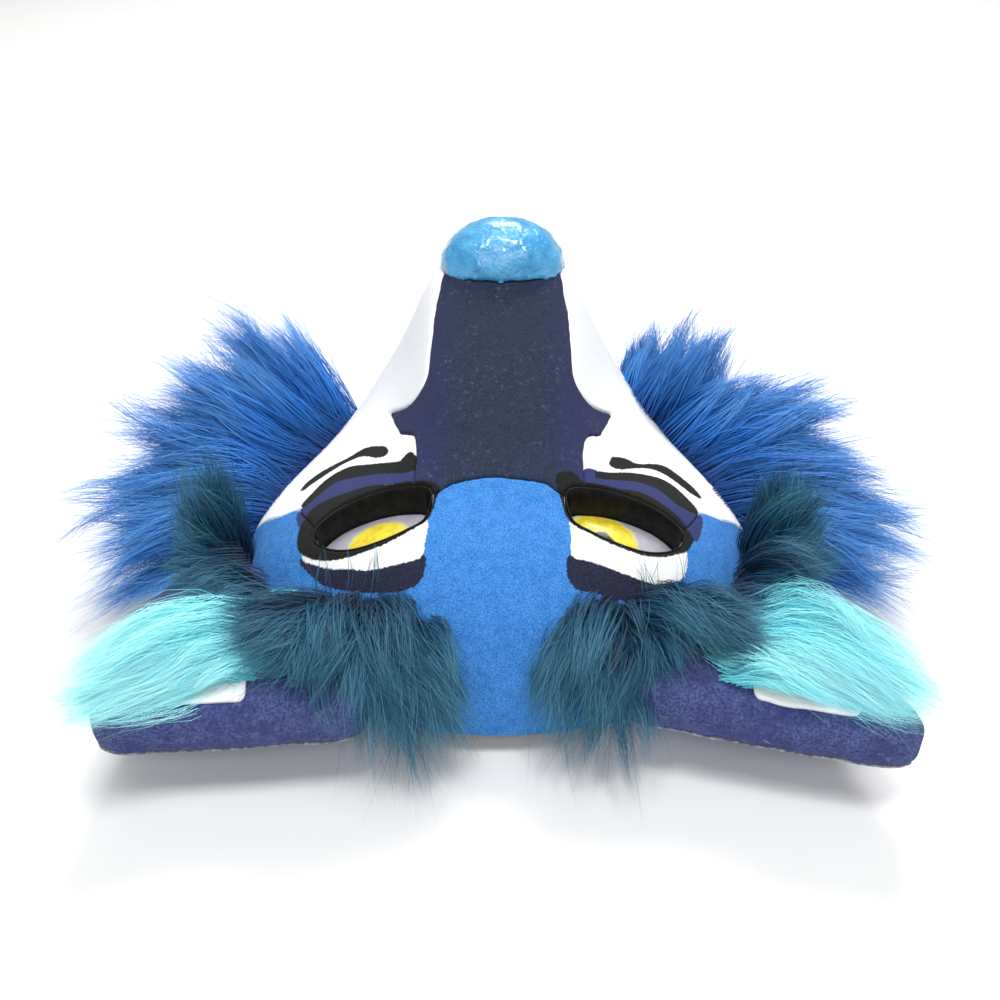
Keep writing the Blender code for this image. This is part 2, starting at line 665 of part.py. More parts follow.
# Ears, their linings and the three furs on each side.
for side in ("left", "right"):
    outline = on_side(side, EAR_OUTLINE[side])
    ear = add(f"ear_{side}", *prism(outline, EAR_LOW, EAR_TOP), MASK)
    roll = ear.modifiers.new("padded edge", "BEVEL")
    roll.width = EAR_ROUND * CM
    roll.segments = EAR_ROUND_STEPS
    roll.limit_method = "ANGLE"
    roll.angle_limit = EAR_EDGE_ANGLE
    settled(ear)
    shaped(ear, ("DIFFERENCE", mask_volume))
    dressed(tidied(ear), "ear_navy_felt")

    lining_low = EAR_TOP + GAP
    lining_top = lining_low + LINING
    lining = add(
        f"ear_lining_{side}", *prism(on_side(side, LINING_OUTLINE[side]), lining_low, lining_top), MASK
    )
    dressed(lining, "white_felt", smooth=False)

    ear_clear = add_cutter(
        f"ear_clear_{side}", *prism(grown(outline, GAP), EAR_LOW - GAP, lining_top + GAP)
    )
    ear_fur_side = on_side(side, EAR_FUR_SIDE)
    ear_fur_tool = add_cutter(f"ear_fur_side_{side}", *prism(ear_fur_side, BELOW, ABOVE))
    ear_fur_clear = add_cutter(f"ear_fur_clear_{side}", *prism(grown(ear_fur_side, GAP), BELOW, ABOVE))
    cheek_fur_side = on_side(side, CHEEK_FUR_SIDE)
    cheek_fur_tool = add_cutter(f"cheek_fur_side_{side}", *prism(cheek_fur_side, CHEEK_FUR_LOW, ABOVE))
    cheek_fur_clear = add_cutter(f"cheek_fur_clear_{side}", *prism(grown(cheek_fur_side, GAP), BELOW, ABOVE))

    patch_low = lining_top + GAP
    ear_fur = add(
        f"ear_fur_{side}",
        *prism(on_side(side, EAR_FUR_PATCH), patch_low, patch_low + EAR_FUR_BACKING),
        MASK,
    )
    above_lining = add_cutter(f"above_lining_{side}", *prism(ALL_ROUND, patch_low, ABOVE))
    with_locks(ear_fur, EAR_LOCKS, side)
    shaped(
        ear_fur,
        ("INTERSECT", ear_fur_tool),
        ("INTERSECT", above_lining),
    )
    dressed(tidied(ear_fur), "cyan_fur")

    cheek_fur = backing_on_face(f"cheek_fur_{side}", CHEEK_BACKING, side)
    with_locks(cheek_fur, CHEEK_LOCKS, side)
    shaped(
        cheek_fur,
        ("INTERSECT", cheek_fur_tool),
        ("DIFFERENCE", mask_volume),
        ("DIFFERENCE", ear_clear),
    )
    dressed(tidied(cheek_fur), "royal_fur")

    temple_fur = backing_on_face(f"ear_base_fur_{side}", TEMPLE_BACKING, side)
    with_locks(temple_fur, TEMPLE_LOCKS, side)
    shaped(
        temple_fur,
        ("DIFFERENCE", cheek_fur_clear),
        ("DIFFERENCE", ear_fur_clear),
        ("DIFFERENCE", mask_volume),
        ("DIFFERENCE", ear_clear),
    )
    dressed(tidied(temple_fur), "teal_fur")
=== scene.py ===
"""The looks of a fur-trimmed canine half mask that lies face up on its rim.

Tables are in centimetres, as in the part. Felt, painted lines, eyes and fur are laid on the same face
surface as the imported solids. x = 0 is the middle of the face in the tables, and MIDDLE brings the whole to
the origin.
"""

import math
from collections import namedtuple

import bpy
import numpy as np
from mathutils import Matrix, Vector, noise
from mathutils.bvhtree import BVHTree


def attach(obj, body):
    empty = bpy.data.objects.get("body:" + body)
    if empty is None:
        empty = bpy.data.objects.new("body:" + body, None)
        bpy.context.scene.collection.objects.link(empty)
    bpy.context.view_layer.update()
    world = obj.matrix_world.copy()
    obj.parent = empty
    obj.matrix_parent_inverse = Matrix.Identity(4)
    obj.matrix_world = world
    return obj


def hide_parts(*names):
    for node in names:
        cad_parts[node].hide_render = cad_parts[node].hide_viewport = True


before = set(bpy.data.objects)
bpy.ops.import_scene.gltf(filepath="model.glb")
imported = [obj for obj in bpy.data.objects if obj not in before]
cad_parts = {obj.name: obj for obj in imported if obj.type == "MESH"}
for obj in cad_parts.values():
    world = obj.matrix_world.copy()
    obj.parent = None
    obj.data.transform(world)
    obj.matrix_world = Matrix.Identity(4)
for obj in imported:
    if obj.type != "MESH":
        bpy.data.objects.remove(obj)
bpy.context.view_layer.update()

SIDES = ("left", "right")
CM = 0.01
MIDDLE = (-0.215, -1.30)

SHELL_WALL = 0.18
FELT = 0.15
UNDER_FELT = 0.045
FELT_TOP = UNDER_FELT + FELT
FELT_HEM = 0.06
SEAM_GAP = 0.008
# A felt's upper edge is rounded over this width, and starts at this share of the felt's thickness.
FELT_ROUND = 0.06
EDGE_LOW = 0.45

SOCKET_WALL = 0.14
SOCKET_DEPTH = 1.35
PANEL_DEPTH = 0.95
PANEL = 0.12
PANEL_DOME = 0.22
GAP = 0.03

EAR_LOW = 1.75
EAR_TOP = 3.45
LINING = 0.12

Row = namedtuple(
    "Row", "y bow crest shoulder_x shoulder_z flank_x flank_z cheek_x cheek_z rim_x rim_z"
)

# Cross-sections of the face from the forehead rim to the lip.
ROWS = (
    Row(-7.60, 2.6, 0.7, 3.0, 0.65, 4.8, 0.5, 6.3, 0.1, 7.0, -0.3),
    Row(-7.45, 2.6, 2.2, 3.0, 2.2, 5.0, 1.9, 6.7, 1.2, 7.2, -0.3),
    Row(-6.60, 2.5, 3.9, 3.0, 3.8, 5.3, 3.3, 7.2, 2.2, 7.7, -0.3),
    Row(-4.90, 2.2, 5.1, 3.0, 5.0, 5.6, 4.5, 7.7, 2.9, 8.1, -0.3),
    Row(-3.00, 1.8, 5.7, 2.6, 5.6, 5.2, 5.0, 7.9, 3.2, 8.3, -0.3),
    Row(-1.20, 1.3, 6.4, 2.2, 6.3, 4.2, 4.9, 7.6, 3.4, 8.4, -0.3),
    Row(0.60, 0.8, 7.3, 2.2, 7.1, 3.6, 5.0, 7.0, 3.5, 8.3, -0.3),
    Row(2.30, 0.3, 8.1, 2.2, 7.9, 3.5, 5.4, 6.2, 3.6, 7.7, 0.2),
    Row(3.90, 0.0, 8.8, 2.2, 8.6, 3.4, 6.0, 5.3, 3.9, 6.6, 1.2),
    Row(5.20, -0.3, 9.3, 2.2, 9.1, 3.2, 6.8, 4.5, 4.6, 5.4, 2.6),
    Row(6.20, -0.5, 9.2, 2.2, 8.9, 3.0, 7.0, 3.9, 5.4, 4.4, 4.0),
    Row(6.80, -0.6, 7.6, 2.0, 7.4, 2.7, 6.3, 3.3, 5.4, 3.7, 4.6),
    Row(7.05, -0.6, 5.6, 1.8, 5.5, 2.4, 5.3, 3.0, 5.0, 3.5, 4.6),
)
LAST_ROW = len(ROWS) - 1
SECTION_POINTS = 401
ALONG = np.linspace(0, LAST_ROW, 161)
ACROSS = np.linspace(-1, 1, 193)

# Plan outlines on the right of the face.
EYE = (
    (2.00, -2.75), (2.75, -2.45), (3.70, -2.38), (4.70, -2.55), (5.35, -2.92), (5.65, -3.32),
    (5.48, -3.82), (4.95, -4.22), (4.25, -4.43), (3.45, -4.38), (2.72, -4.16), (2.12, -3.76),
)
FOREHEAD_EDGE = (
    (0.00, -2.42), (0.65, -2.45), (1.40, -2.58), (2.05, -3.05), (3.80, -3.30), (5.60, -3.20),
    (6.10, -2.35), (6.35, -1.80), (7.10, -1.55), (8.20, -0.55), (10.0, 0.80),
)
BRIDGE_EDGE = (
    (1.95, 5.40), (2.25, 3.70), (2.35, 2.40), (2.42, 1.40), (2.70, 1.15), (3.10, 1.30), (3.78, 1.95),
    (3.50, 1.10), (3.25, 0.28), (2.66, -0.70), (2.60, -3.50),
)
# The bridge outline's one sharp point, the black line round each eye, and a distance past the whole mask.
BRIDGE_SPIKE = 6
EYE_LINE = 0.10
FAR = 14

EAR_OUTLINE = {
    "right": (
        (3.00, -7.80), (3.70, -8.40), (7.00, -9.25), (10.5, -9.95), (11.35, -9.85), (11.40, -9.25),
        (10.85, -7.90), (10.45, -6.60), (10.30, -5.10), (9.75, -3.70), (8.80, -2.80), (6.50, -3.20),
        (5.00, -5.00), (3.20, -6.60),
    ),
    "left": (
        (3.50, -8.90), (4.40, -9.30), (7.50, -9.55), (10.2, -9.75), (10.95, -9.50), (11.05, -8.80),
        (10.90, -7.70), (10.80, -5.40), (10.0, -3.80), (8.80, -2.80), (6.50, -3.20), (5.00, -5.00),
        (3.40, -7.00),
    ),
}
LINING_OUTLINE = {
    "right": (
        (6.90, -8.50), (6.95, -8.80), (7.30, -8.94), (8.30, -9.17), (9.20, -9.36), (9.55, -9.33),
        (9.75, -8.90), (9.80, -8.30), (9.70, -7.40), (9.30, -6.60), (8.40, -6.20), (7.60, -6.70),
        (7.10, -7.70),
    ),
    "left": (
        (6.70, -8.70), (6.75, -9.03), (7.10, -9.12), (8.30, -9.23), (9.30, -9.29), (9.70, -9.20),
        (9.92, -8.80), (10.0, -8.20), (9.90, -7.40), (9.30, -6.60), (8.40, -6.20), (7.60, -6.70),
        (6.95, -7.80),
    ),
}

# Painted shapes on the felt, as plan outlines. The two sides are painted by hand and differ.
PAINT = {
    "black": (
        ((-6.12, -3.35), (-6.08, -2.87), (-5.85, -2.30), (-5.40, -2.05), (-4.72, -2.02), (-4.00, -2.04),
         (-3.10, -2.34), (-2.40, -2.46), (-1.92, -2.58), (-1.76, -2.81), (-1.90, -3.23), (-2.12, -3.80),
         (-2.48, -4.16), (-3.18, -4.48), (-3.78, -4.58), (-4.33, -4.62), (-5.00, -4.50), (-5.60, -4.20),
         (-6.00, -3.80)),
        ((-6.26, -1.69), (-6.10, -1.00), (-5.82, -0.36), (-5.43, -0.01), (-4.88, 0.04), (-4.17, -0.47),
         (-3.47, -1.03), (-3.08, -1.25), (-2.94, -1.07), (-2.74, -1.10), (-2.54, -1.49), (-2.55, -1.86),
         (-2.82, -1.97), (-3.39, -1.70), (-4.07, -1.27), (-4.81, -0.84), (-5.32, -0.74), (-5.66, -1.24),
         (-5.93, -1.74), (-6.11, -1.89)),
        ((-6.58, -0.15), (-6.44, 0.28), (-6.03, 0.61), (-5.49, 0.75), (-5.03, 0.78), (-4.64, 0.87),
         (-4.26, 0.73), (-3.75, 0.17), (-3.56, -0.31), (-3.64, -0.50), (-4.00, -0.25), (-4.46, 0.32),
         (-4.90, 0.48), (-5.37, 0.41), (-5.84, 0.16), (-6.26, -0.13), (-6.44, -0.31)),
        ((1.69, -2.49), (1.88, -2.16), (2.28, -2.12), (2.52, -2.36), (3.05, -2.39), (3.69, -2.27),
         (4.28, -2.09), (4.79, -2.24), (5.25, -2.50), (5.59, -2.82), (5.78, -3.19), (5.89, -3.37),
         (5.76, -3.68), (5.55, -3.96), (5.09, -4.22), (4.41, -4.47), (3.97, -4.48), (3.53, -4.47),
         (2.91, -4.30), (2.45, -4.13), (2.09, -3.83), (1.91, -3.28)),
        ((2.96, -1.77), (3.48, -1.52), (4.16, -0.90), (4.81, -0.50), (5.30, -0.36), (5.76, -0.66),
         (6.05, -1.32), (6.23, -1.90), (6.16, -2.13), (5.64, -2.12), (5.34, -1.89), (5.00, -1.42),
         (4.46, -1.38), (3.71, -1.79), (3.00, -2.08)),
        ((3.43, -0.97), (3.55, -0.59), (3.79, -0.30), (4.14, -0.09), (4.46, -0.05), (5.08, 0.53),
         (5.50, 0.73), (5.93, 0.51), (6.30, 0.15), (6.53, -0.27), (6.56, -0.62), (6.23, -0.56),
         (5.85, -0.22), (5.37, 0.09), (4.87, 0.01), (4.34, -0.47), (3.77, -1.07), (3.49, -1.16)),
    ),
    "navy": (
        ((-6.25, -2.14), (-6.00, -3.00), (-5.88, -3.36), (-5.81, -2.86), (-5.40, -2.05), (-4.00, -2.04),
         (-2.40, -2.46), (-1.92, -2.58), (-2.18, -1.97), (-2.59, -1.48), (-2.59, -1.85), (-2.82, -1.97),
         (-3.39, -1.70), (-4.07, -1.27), (-4.80, -0.80), (-5.32, -0.70), (-5.66, -1.24), (-5.93, -1.74)),
        ((2.49, -1.99), (2.96, -1.77), (3.00, -2.08), (3.71, -1.79), (4.46, -1.38), (5.00, -1.42),
         (5.34, -1.89), (5.64, -2.12), (6.20, -2.07), (6.21, -2.47), (6.05, -3.05), (5.89, -3.37),
         (5.78, -3.19), (5.59, -2.82), (5.25, -2.50), (4.79, -2.24), (4.28, -2.09), (3.05, -2.39),
         (2.52, -2.36), (2.28, -2.12)),
    ),
    "white": (
        ((-2.17, -3.70), (-2.05, -4.06), (-2.11, -4.58), (-2.16, -5.02), (-2.50, -5.12), (-3.14, -5.15),
         (-3.73, -5.11), (-4.25, -4.95), (-4.93, -4.72), (-5.39, -4.45), (-5.85, -4.11), (-5.79, -3.79),
         (-5.46, -3.92), (-4.95, -4.26), (-4.34, -4.40), (-3.79, -4.40), (-3.18, -4.32), (-2.48, -4.00)),
        ((2.09, -3.83), (2.11, -4.35), (2.12, -4.98), (2.43, -5.05), (2.87, -5.09), (3.55, -5.17),
         (4.33, -5.18), (4.79, -5.09), (5.16, -4.87), (5.51, -4.59), (5.60, -3.89), (5.09, -4.22),
         (4.41, -4.47), (3.97, -4.48), (3.53, -4.47), (2.91, -4.30), (2.45, -4.13)),
    ),
    "brow": (
        ((-5.89, -4.10), (-5.39, -4.45), (-4.93, -4.72), (-4.28, -5.00), (-3.73, -5.11), (-3.14, -5.15),
         (-2.50, -5.12), (-2.16, -5.02), (-2.15, -5.41), (-2.28, -5.65), (-2.60, -5.75), (-3.09, -5.74),
         (-3.72, -5.57), (-4.26, -5.39), (-4.74, -5.18), (-5.15, -4.93), (-5.47, -4.61)),
        ((2.07, -5.04), (2.39, -5.00), (2.87, -5.09), (3.55, -5.17), (4.36, -5.23), (4.79, -5.19),
         (4.35, -5.53), (3.47, -5.77), (3.21, -5.83), (2.85, -5.75), (2.33, -5.78), (2.14, -5.65),
         (2.03, -5.44)),
    ),
}

Lock = namedtuple("Lock", "x y z tip_x tip_y tip_z width depth lift")

CHEEK_LOCKS = (
    Lock(5.3, 5.2, 3.2, 5.6, 6.2, 7.2, 1.62, 1.17, 0.0),
    Lock(5.6, 5.0, 3.0, 7.5, 6.3, 7.3, 2.12, 1.43, 0.2),
    Lock(6.0, 4.6, 2.8, 9.2, 5.9, 6.9, 2.38, 1.56, 0.3),
    Lock(6.3, 4.2, 2.6, 11.7, 5.2, 6.3, 2.38, 1.69, 0.4),
    Lock(6.7, 3.6, 2.4, 13.3, 3.9, 5.1, 2.38, 1.69, 0.5),
    Lock(7.1, 2.8, 2.3, 14.2, 2.0, 3.5, 2.38, 1.69, 0.5),
    Lock(7.5, 1.9, 2.2, 14.7, 0.5, 2.8, 2.38, 1.69, 0.5),
    Lock(7.8, 1.1, 2.1, 14.7, -1.1, 2.2, 2.25, 1.56, 0.5),
    Lock(8.1, 0.3, 2.0, 14.3, -2.6, 1.6, 2.12, 1.43, 0.5),
    Lock(8.2, -0.2, 1.8, 13.1, -3.6, 1.0, 1.75, 1.17, 0.4),
    Lock(6.1, 4.0, 3.0, 8.7, 4.4, 6.4, 2.38, 1.56, 0.2),
    Lock(6.7, 3.1, 2.9, 10.9, 3.2, 5.3, 2.5, 1.56, 0.3),
    Lock(7.3, 1.9, 2.8, 12.2, 1.3, 4.1, 2.5, 1.56, 0.4),
    Lock(7.8, 0.7, 2.6, 12.4, -0.8, 3.3, 2.38, 1.56, 0.4),
)
TEMPLE_LOCKS = (
    Lock(2.4, -6.5, 3.4, 0.7, -8.3, 1.9, 1.65, 0.94, 0.4),
    Lock(2.7, -6.7, 2.8, 1.2, -9.4, 1.0, 1.65, 1.08, 0.5),
    Lock(3.2, -6.7, 2.8, 2.5, -9.8, 0.9, 1.8, 1.08, 0.5),
    Lock(3.8, -6.5, 3.2, 3.7, -10.1, 1.5, 1.95, 1.08, 0.7),
    Lock(4.3, -6.2, 3.7, 5.2, -9.9, 3.9, 2.1, 1.08, 0.5),
    Lock(4.9, -6.2, 3.8, 6.5, -8.7, 4.2, 2.0, 1.10, 0.4),
    Lock(2.7, -6.0, 3.9, 1.2, -8.2, 3.2, 1.65, 0.94, 0.3),
    Lock(3.5, -5.8, 4.1, 2.3, -8.6, 3.8, 2.1, 1.22, 0.5),
    Lock(4.4, -5.9, 4.2, 4.4, -8.6, 4.5, 2.1, 1.22, 0.4),
    Lock(6.8, -5.1, 3.6, 8.3, -6.3, 4.3, 1.2, 0.8, 0.3),
    Lock(7.2, -4.5, 3.6, 9.3, -6.1, 4.3, 1.6, 1.1, 0.3),
    Lock(8.0, -3.8, 3.3, 10.0, -5.0, 4.6, 1.9, 1.15, 0.3),
    Lock(8.3, -3.1, 3.1, 9.9, -2.9, 5.5, 1.9, 1.15, 0.3),
    Lock(8.4, -2.5, 3.0, 9.1, -2.0, 6.4, 1.9, 1.15, 0.2),
    Lock(8.4, -2.0, 2.9, 8.2, -2.0, 6.3, 1.6, 1.00, 0.0),
    # These lie over the roots of the ear's own fur.
    Lock(4.7, -5.9, 4.0, 7.9, -6.6, 4.5, 1.10, 0.50, 0.35),
    Lock(4.9, -6.4, 4.0, 7.4, -8.0, 4.5, 1.30, 0.50, 0.35),
    Lock(4.6, -6.9, 4.0, 6.6, -9.1, 4.1, 1.40, 0.50, 0.35),
    # A few hairs stand up over the brows.
    Lock(3.5, -6.0, 4.1, 3.2, -4.6, 5.2, 1.10, 0.30, 0.10),
    Lock(5.2, -5.7, 4.1, 5.6, -4.4, 5.0, 1.10, 0.30, 0.10),
)
EAR_LOCKS = (
    Lock(6.9, -5.7, 3.8, 10.6, -8.1, 4.2, 1.2, 0.55, 0.2),
    Lock(6.8, -6.2, 3.9, 11.9, -10.1, 4.0, 1.4, 0.65, 0.3),
    Lock(6.8, -6.8, 3.95, 11.4, -10.0, 3.8, 1.4, 0.75, 0.3),
    Lock(6.8, -7.4, 3.95, 9.2, -9.4, 4.0, 1.3, 0.70, 0.3),
    Lock(6.8, -8.0, 3.95, 7.9, -9.1, 4.0, 1.0, 0.50, 0.2),
)
# Locks that lie otherwise on one side. On the right the fur leaves the ear's inner end bare and passes
# under it.
OWN_LOCKS = {
    ("cheek_fur", "left"): {
        0: Lock(5.7, 4.7, 3.2, 8.3, 6.8, 7.1, 1.62, 1.17, 0.0),
        1: Lock(6.1, 4.5, 3.1, 9.9, 5.4, 7.3, 2.12, 1.43, 0.2),
        2: Lock(6.4, 3.9, 2.9, 11.6, 4.6, 6.9, 2.38, 1.56, 0.3),
        3: Lock(6.8, 3.2, 2.7, 12.9, 3.1, 6.2, 2.38, 1.69, 0.4),
        4: Lock(7.1, 2.7, 2.5, 13.7, 1.9, 5.0, 2.38, 1.69, 0.5),
        10: Lock(6.4, 3.9, 3.1, 9.3, 4.7, 6.4, 2.38, 1.56, 0.2),
    },
    ("cheek_fur", "right"): {
        0: Lock(5.0, 5.8, 3.4, 4.7, 6.8, 6.5, 1.50, 1.00, 0.0),
        1: Lock(5.3, 5.5, 3.2, 6.1, 6.8, 7.3, 1.90, 1.30, 0.1),
        2: Lock(5.8, 5.0, 3.0, 8.2, 6.7, 7.0, 2.38, 1.56, 0.3),
        3: Lock(6.3, 4.4, 2.7, 11.1, 5.1, 6.3, 2.38, 1.69, 0.4),
        10: Lock(5.7, 4.8, 3.1, 7.4, 5.4, 6.5, 2.38, 1.56, 0.2),
    },
    ("ear_base_fur", "right"): {
        3: Lock(3.2, -7.2, 2.2, 4.3, -10.2, 0.9, 1.60, 0.90, 0.2),
        4: Lock(4.2, -6.0, 3.9, 5.4, -8.1, 4.4, 1.60, 0.90, 0.4),
        5: Lock(4.7, -5.9, 3.9, 6.6, -8.0, 4.4, 1.70, 0.90, 0.4),
        8: Lock(4.2, -5.8, 4.2, 5.6, -7.6, 4.6, 1.80, 1.00, 0.4),
        17: Lock(4.8, -6.2, 4.0, 7.0, -8.2, 4.3, 1.30, 0.50, 0.35),
    },
}
SPREAD = {"left": 1.06, "right": 1.0}
# The way that a lock's flat side faces.
LOCK_FLAT = (0, -0.45, 0.9)

# Runs of locks that a strand may lie between. Each pairs an outer run with an inner one, and share is its
# part of the strands.
Run = namedtuple("Run", "outer inner share")
CHEEK_RUNS = (
    Run((0, 1, 2, 3, 4, 5, 6, 7, 8, 9), (0, 10, 10, 11, 11, 12, 12, 13, 13, 9), 1.0),
)
TEMPLE_RUNS = (
    Run((0, 1, 2, 3, 4, 5), (6, 6, 7, 7, 8, 8), 0.618),
    Run((9, 10, 11, 12, 13, 14), (9, 10, 11, 12, 13, 14), 0.26),
    Run((15, 16, 17), (15, 16, 17), 0.12),
    Run((18, 19), (18, 19), 0.002),
)
EAR_RUNS = (Run((0, 1, 2, 3, 4), (0, 1, 2, 3, 4), 1.0),)

# Strands comb along the locks. start sets how far before or after a lock's root they begin, as shares of its
# length, and bed is the height of what they grow from there.
Fur = namedtuple("Fur", "locks runs strands clumps width pull strays stray_bend start bed")
FURS = {
    "cheek_fur": Fur(CHEEK_LOCKS, CHEEK_RUNS, 12500, 150, 0.034, 0.75, 0.10, 0.09, (0.0, 0.0), None),
    "ear_base_fur": Fur(TEMPLE_LOCKS, TEMPLE_RUNS, 13000, 170, 0.023, 0.62, 0.22, 0.12, (0.0, 0.0), None),
    "ear_fur": Fur(EAR_LOCKS, EAR_RUNS, 10500, 90, 0.018, 0.30, 0.06, 0.03, (-0.22, 0.22), 3.62),
}
STRAND_STEPS = 5
LEAST_CLUMPS = 4

# How clumps and strands differ from their locks. Lengths and widths are shares of the lock's own, ROOT_DRIFT
# is in centimetres and RIBBON_TILT in radians.
CLUMP_LENGTHS = (0.80, 1.08)
CLUMP_WIDTHS = (0.55, 0.85)
ROOT_DRIFT = 0.22
TIP_DRIFT = 0.055
REACHES = (0.62, 1.0)
STRAY_REACHES = (0.85, 1.08)
WANDER = 0.025
BEND = 0.08
WAVE = 0.022
WAVE_TURNS = (0.5, 1.2)
RIBBON_TILT = 0.45
TONE_DRIFT = 0.22
# Strands in the upper part of each lock get a lighter tone by this much: painted light on the top of the fur.
LIT_TOP_TONE = 0.25
# A lock's and a ribbon's width from root to tip: places, then widths.
LOCK_PROFILE = ((0, 0.3, 0.65, 1), (0.85, 1.0, 0.72, 0.42))
RIBBON_PROFILE = ((0, 0.25, 1), (0.8, 1.0, 0.16))

# How far the longest hairs may reach from the table's origin.
REACH_LOW = (-16.4, -11.1, 0.03)
REACH_HIGH = (16.0, 8.5, 10.8)


def curve(a, b, c, d, f):
    """Where a smooth curve through four points is at share f of the way from b to c."""
    return b + 0.5 * f * (c - a + f * (2 * a - 5 * b + 4 * c - d + f * (3 * b - a - 3 * c + d)))


def through_rows(at):
    """Rows at fractional places, on a smooth curve through the table's rows."""
    rows = np.array(ROWS, float)
    first = np.minimum(at.astype(int), LAST_ROW - 1)
    f = (at - first)[:, None]
    before = rows[np.maximum(first - 1, 0)]
    after = rows[np.minimum(first + 2, LAST_ROW)]
    return curve(before, rows[first], rows[first + 1], after, f)


def with_ends(points):
    """The points with one more at each end, straight on from the last two."""
    return np.concatenate([[2 * points[0] - points[1]], points, [2 * points[-1] - points[-2]]])


def rounded(points, count):
    """A smooth line near the given points that meets the first and the last."""
    ends = with_ends(points)
    s = np.linspace(0, len(points) - 1, count)
    i = np.minimum(s.astype(int), len(points) - 2)
    f = (s - i)[:, None]
    a = (1 - f) ** 3
    b = 3 * f**3 - 6 * f**2 + 4
    c = -3 * f**3 + 3 * f**2 + 3 * f + 1
    return (a * ends[i] + b * ends[i + 1] + c * ends[i + 2] + f**3 * ends[i + 3]) / 6


def section(values, across):
    """Points of one cross-section, where across runs from -1 at the left rim to 1 at the right."""
    row = Row(*values)
    half = np.array([
        (0, row.crest),
        (0.75 * row.shoulder_x, row.crest),
        (row.shoulder_x, row.shoulder_z),
        (row.flank_x, row.flank_z),
        (row.cheek_x, row.cheek_z),
        (row.rim_x, (row.cheek_z + row.rim_z) / 2),
        (row.rim_x, row.rim_z),
    ])
    line = rounded(np.concatenate([half[:0:-1] * [-1, 1], half]), SECTION_POINTS)
    run = np.concatenate([[0], np.cumsum(np.linalg.norm(np.diff(line, axis=0), axis=1))])
    run = 2 * run / run[-1] - 1
    x = np.interp(across, run, line[:, 0])
    z = np.interp(across, run, line[:, 1])
    return np.stack([x, row.y + row.bow * (x / row.rim_x) ** 2, z], 1)


def face_grid(along, across):
    return np.stack([section(values, across) for values in through_rows(along)])


def raised(grid, amount):
    """The grid moved outward along its own normals."""
    normal = np.cross(np.gradient(grid, axis=1), np.gradient(grid, axis=0))
    normal /= np.linalg.norm(normal, axis=-1, keepdims=True)
    return grid + amount * normal


def unit(vectors):
    return vectors / np.maximum(np.linalg.norm(vectors, axis=-1, keepdims=True), 1e-9)


def mirrored(points):
    points = np.array(points, float)
    points[..., 0] *= -1
    return points


def on_side(side, points):
    return np.array(points, float) if side == "right" else mirrored(points)


def smooth_ring(outline, per_edge):
    """A closed smooth curve through an outline's points."""
    points = np.asarray(outline, float)
    a = np.roll(points, 1, axis=0)
    c = np.roll(points, -1, axis=0)
    d = np.roll(points, -2, axis=0)
    out = [curve(a, points, c, d, f) for f in np.arange(per_edge) / per_edge]
    return np.stack(out, axis=1).reshape(-1, 2)


def smooth_line(points, per_edge):
    """A smooth open line through the points."""
    points = np.asarray(points, float)
    ends = with_ends(points)
    out = [curve(ends[:-3], ends[1:-2], ends[2:-1], ends[3:], f) for f in np.arange(per_edge) / per_edge]
    return np.concatenate([np.stack(out, axis=1).reshape(-1, 2), points[-1:]])


def plan_area(ring):
    """A plan outline's area, negative where it runs clockwise."""
    x, y = ring[:, 0], ring[:, 1]
    return np.sum(x * np.roll(y, -1) - np.roll(x, -1) * y) / 2


def grown(outline, amount):
    """A plan outline moved outward by amount, each corner along its two edges' normals."""
    points = np.asarray(outline, float)
    before = points - np.roll(points, 1, axis=0)
    after = np.roll(points, -1, axis=0) - points
    turn = 1 if plan_area(points) > 0 else -1
    sides = []
    for step in (before, after):
        step = step / np.linalg.norm(step, axis=1, keepdims=True)
        sides.append(turn * np.column_stack([step[:, 1], -step[:, 0]]))
    both = sides[0] + sides[1]
    both /= np.linalg.norm(both, axis=1, keepdims=True)
    stretch = np.maximum(np.sum(both * sides[0], axis=1, keepdims=True), 0.5)
    return points + amount * both / stretch


def inside_by(points, ring):
    """Signed distance of plan points from a closed outline, positive inside it."""
    a = np.asarray(ring, float)
    b = np.roll(a, -1, axis=0)
    nearest = np.full(len(points), np.inf)
    inside = np.zeros(len(points), bool)
    x, y = points[:, 0], points[:, 1]
    for (ax, ay), (bx, by) in zip(a, b):
        dx, dy = bx - ax, by - ay
        t = np.clip(((x - ax) * dx + (y - ay) * dy) / (dx * dx + dy * dy + 1e-12), 0, 1)
        nearest = np.minimum(nearest, (x - ax - t * dx) ** 2 + (y - ay - t * dy) ** 2)
        if dy:
            inside ^= ((ay > y) != (by > y)) & (x < dx * (y - ay) / dy + ax)
    return np.where(inside, 1, -1) * np.sqrt(nearest)


def wobble(points, scale, size, seed=0.0):
    """Smooth random shifts, one per point."""
    return np.array([size * noise.noise(Vector((p[0] * scale, p[1] * scale, seed))) for p in points])


def build(name, points, triangles, uv=None, attributes=None):
    """A triangle mesh from points in centimetres. uv has three corners per triangle."""
    mesh = bpy.data.meshes.new(name)
    placed = (np.asarray(points, float) - [*MIDDLE, 0]) * CM
    triangles = np.asarray(triangles, np.int32)
    mesh.vertices.add(len(placed))
    mesh.vertices.foreach_set("co", placed.astype(np.float32).ravel())
    mesh.loops.add(triangles.size)
    mesh.loops.foreach_set("vertex_index", triangles.ravel())
    mesh.polygons.add(len(triangles))
    mesh.polygons.foreach_set("loop_start", np.arange(0, triangles.size, 3, dtype=np.int32))
    mesh.update(calc_edges=True)
    mesh.polygons.foreach_set("use_smooth", np.ones(len(triangles), bool))
    for key, values in (attributes or {}).items():
        layer = mesh.attributes.new(key, "FLOAT", "POINT")
        layer.data.foreach_set("value", np.asarray(values, np.float32))
    if uv is not None:
        layer = mesh.uv_layers.new(name="OFBake")
        layer.uv.foreach_set("vector", np.asarray(uv, np.float32).ravel())
    obj = bpy.data.objects.new(name, mesh)
    bpy.context.scene.collection.objects.link(obj)
    return obj


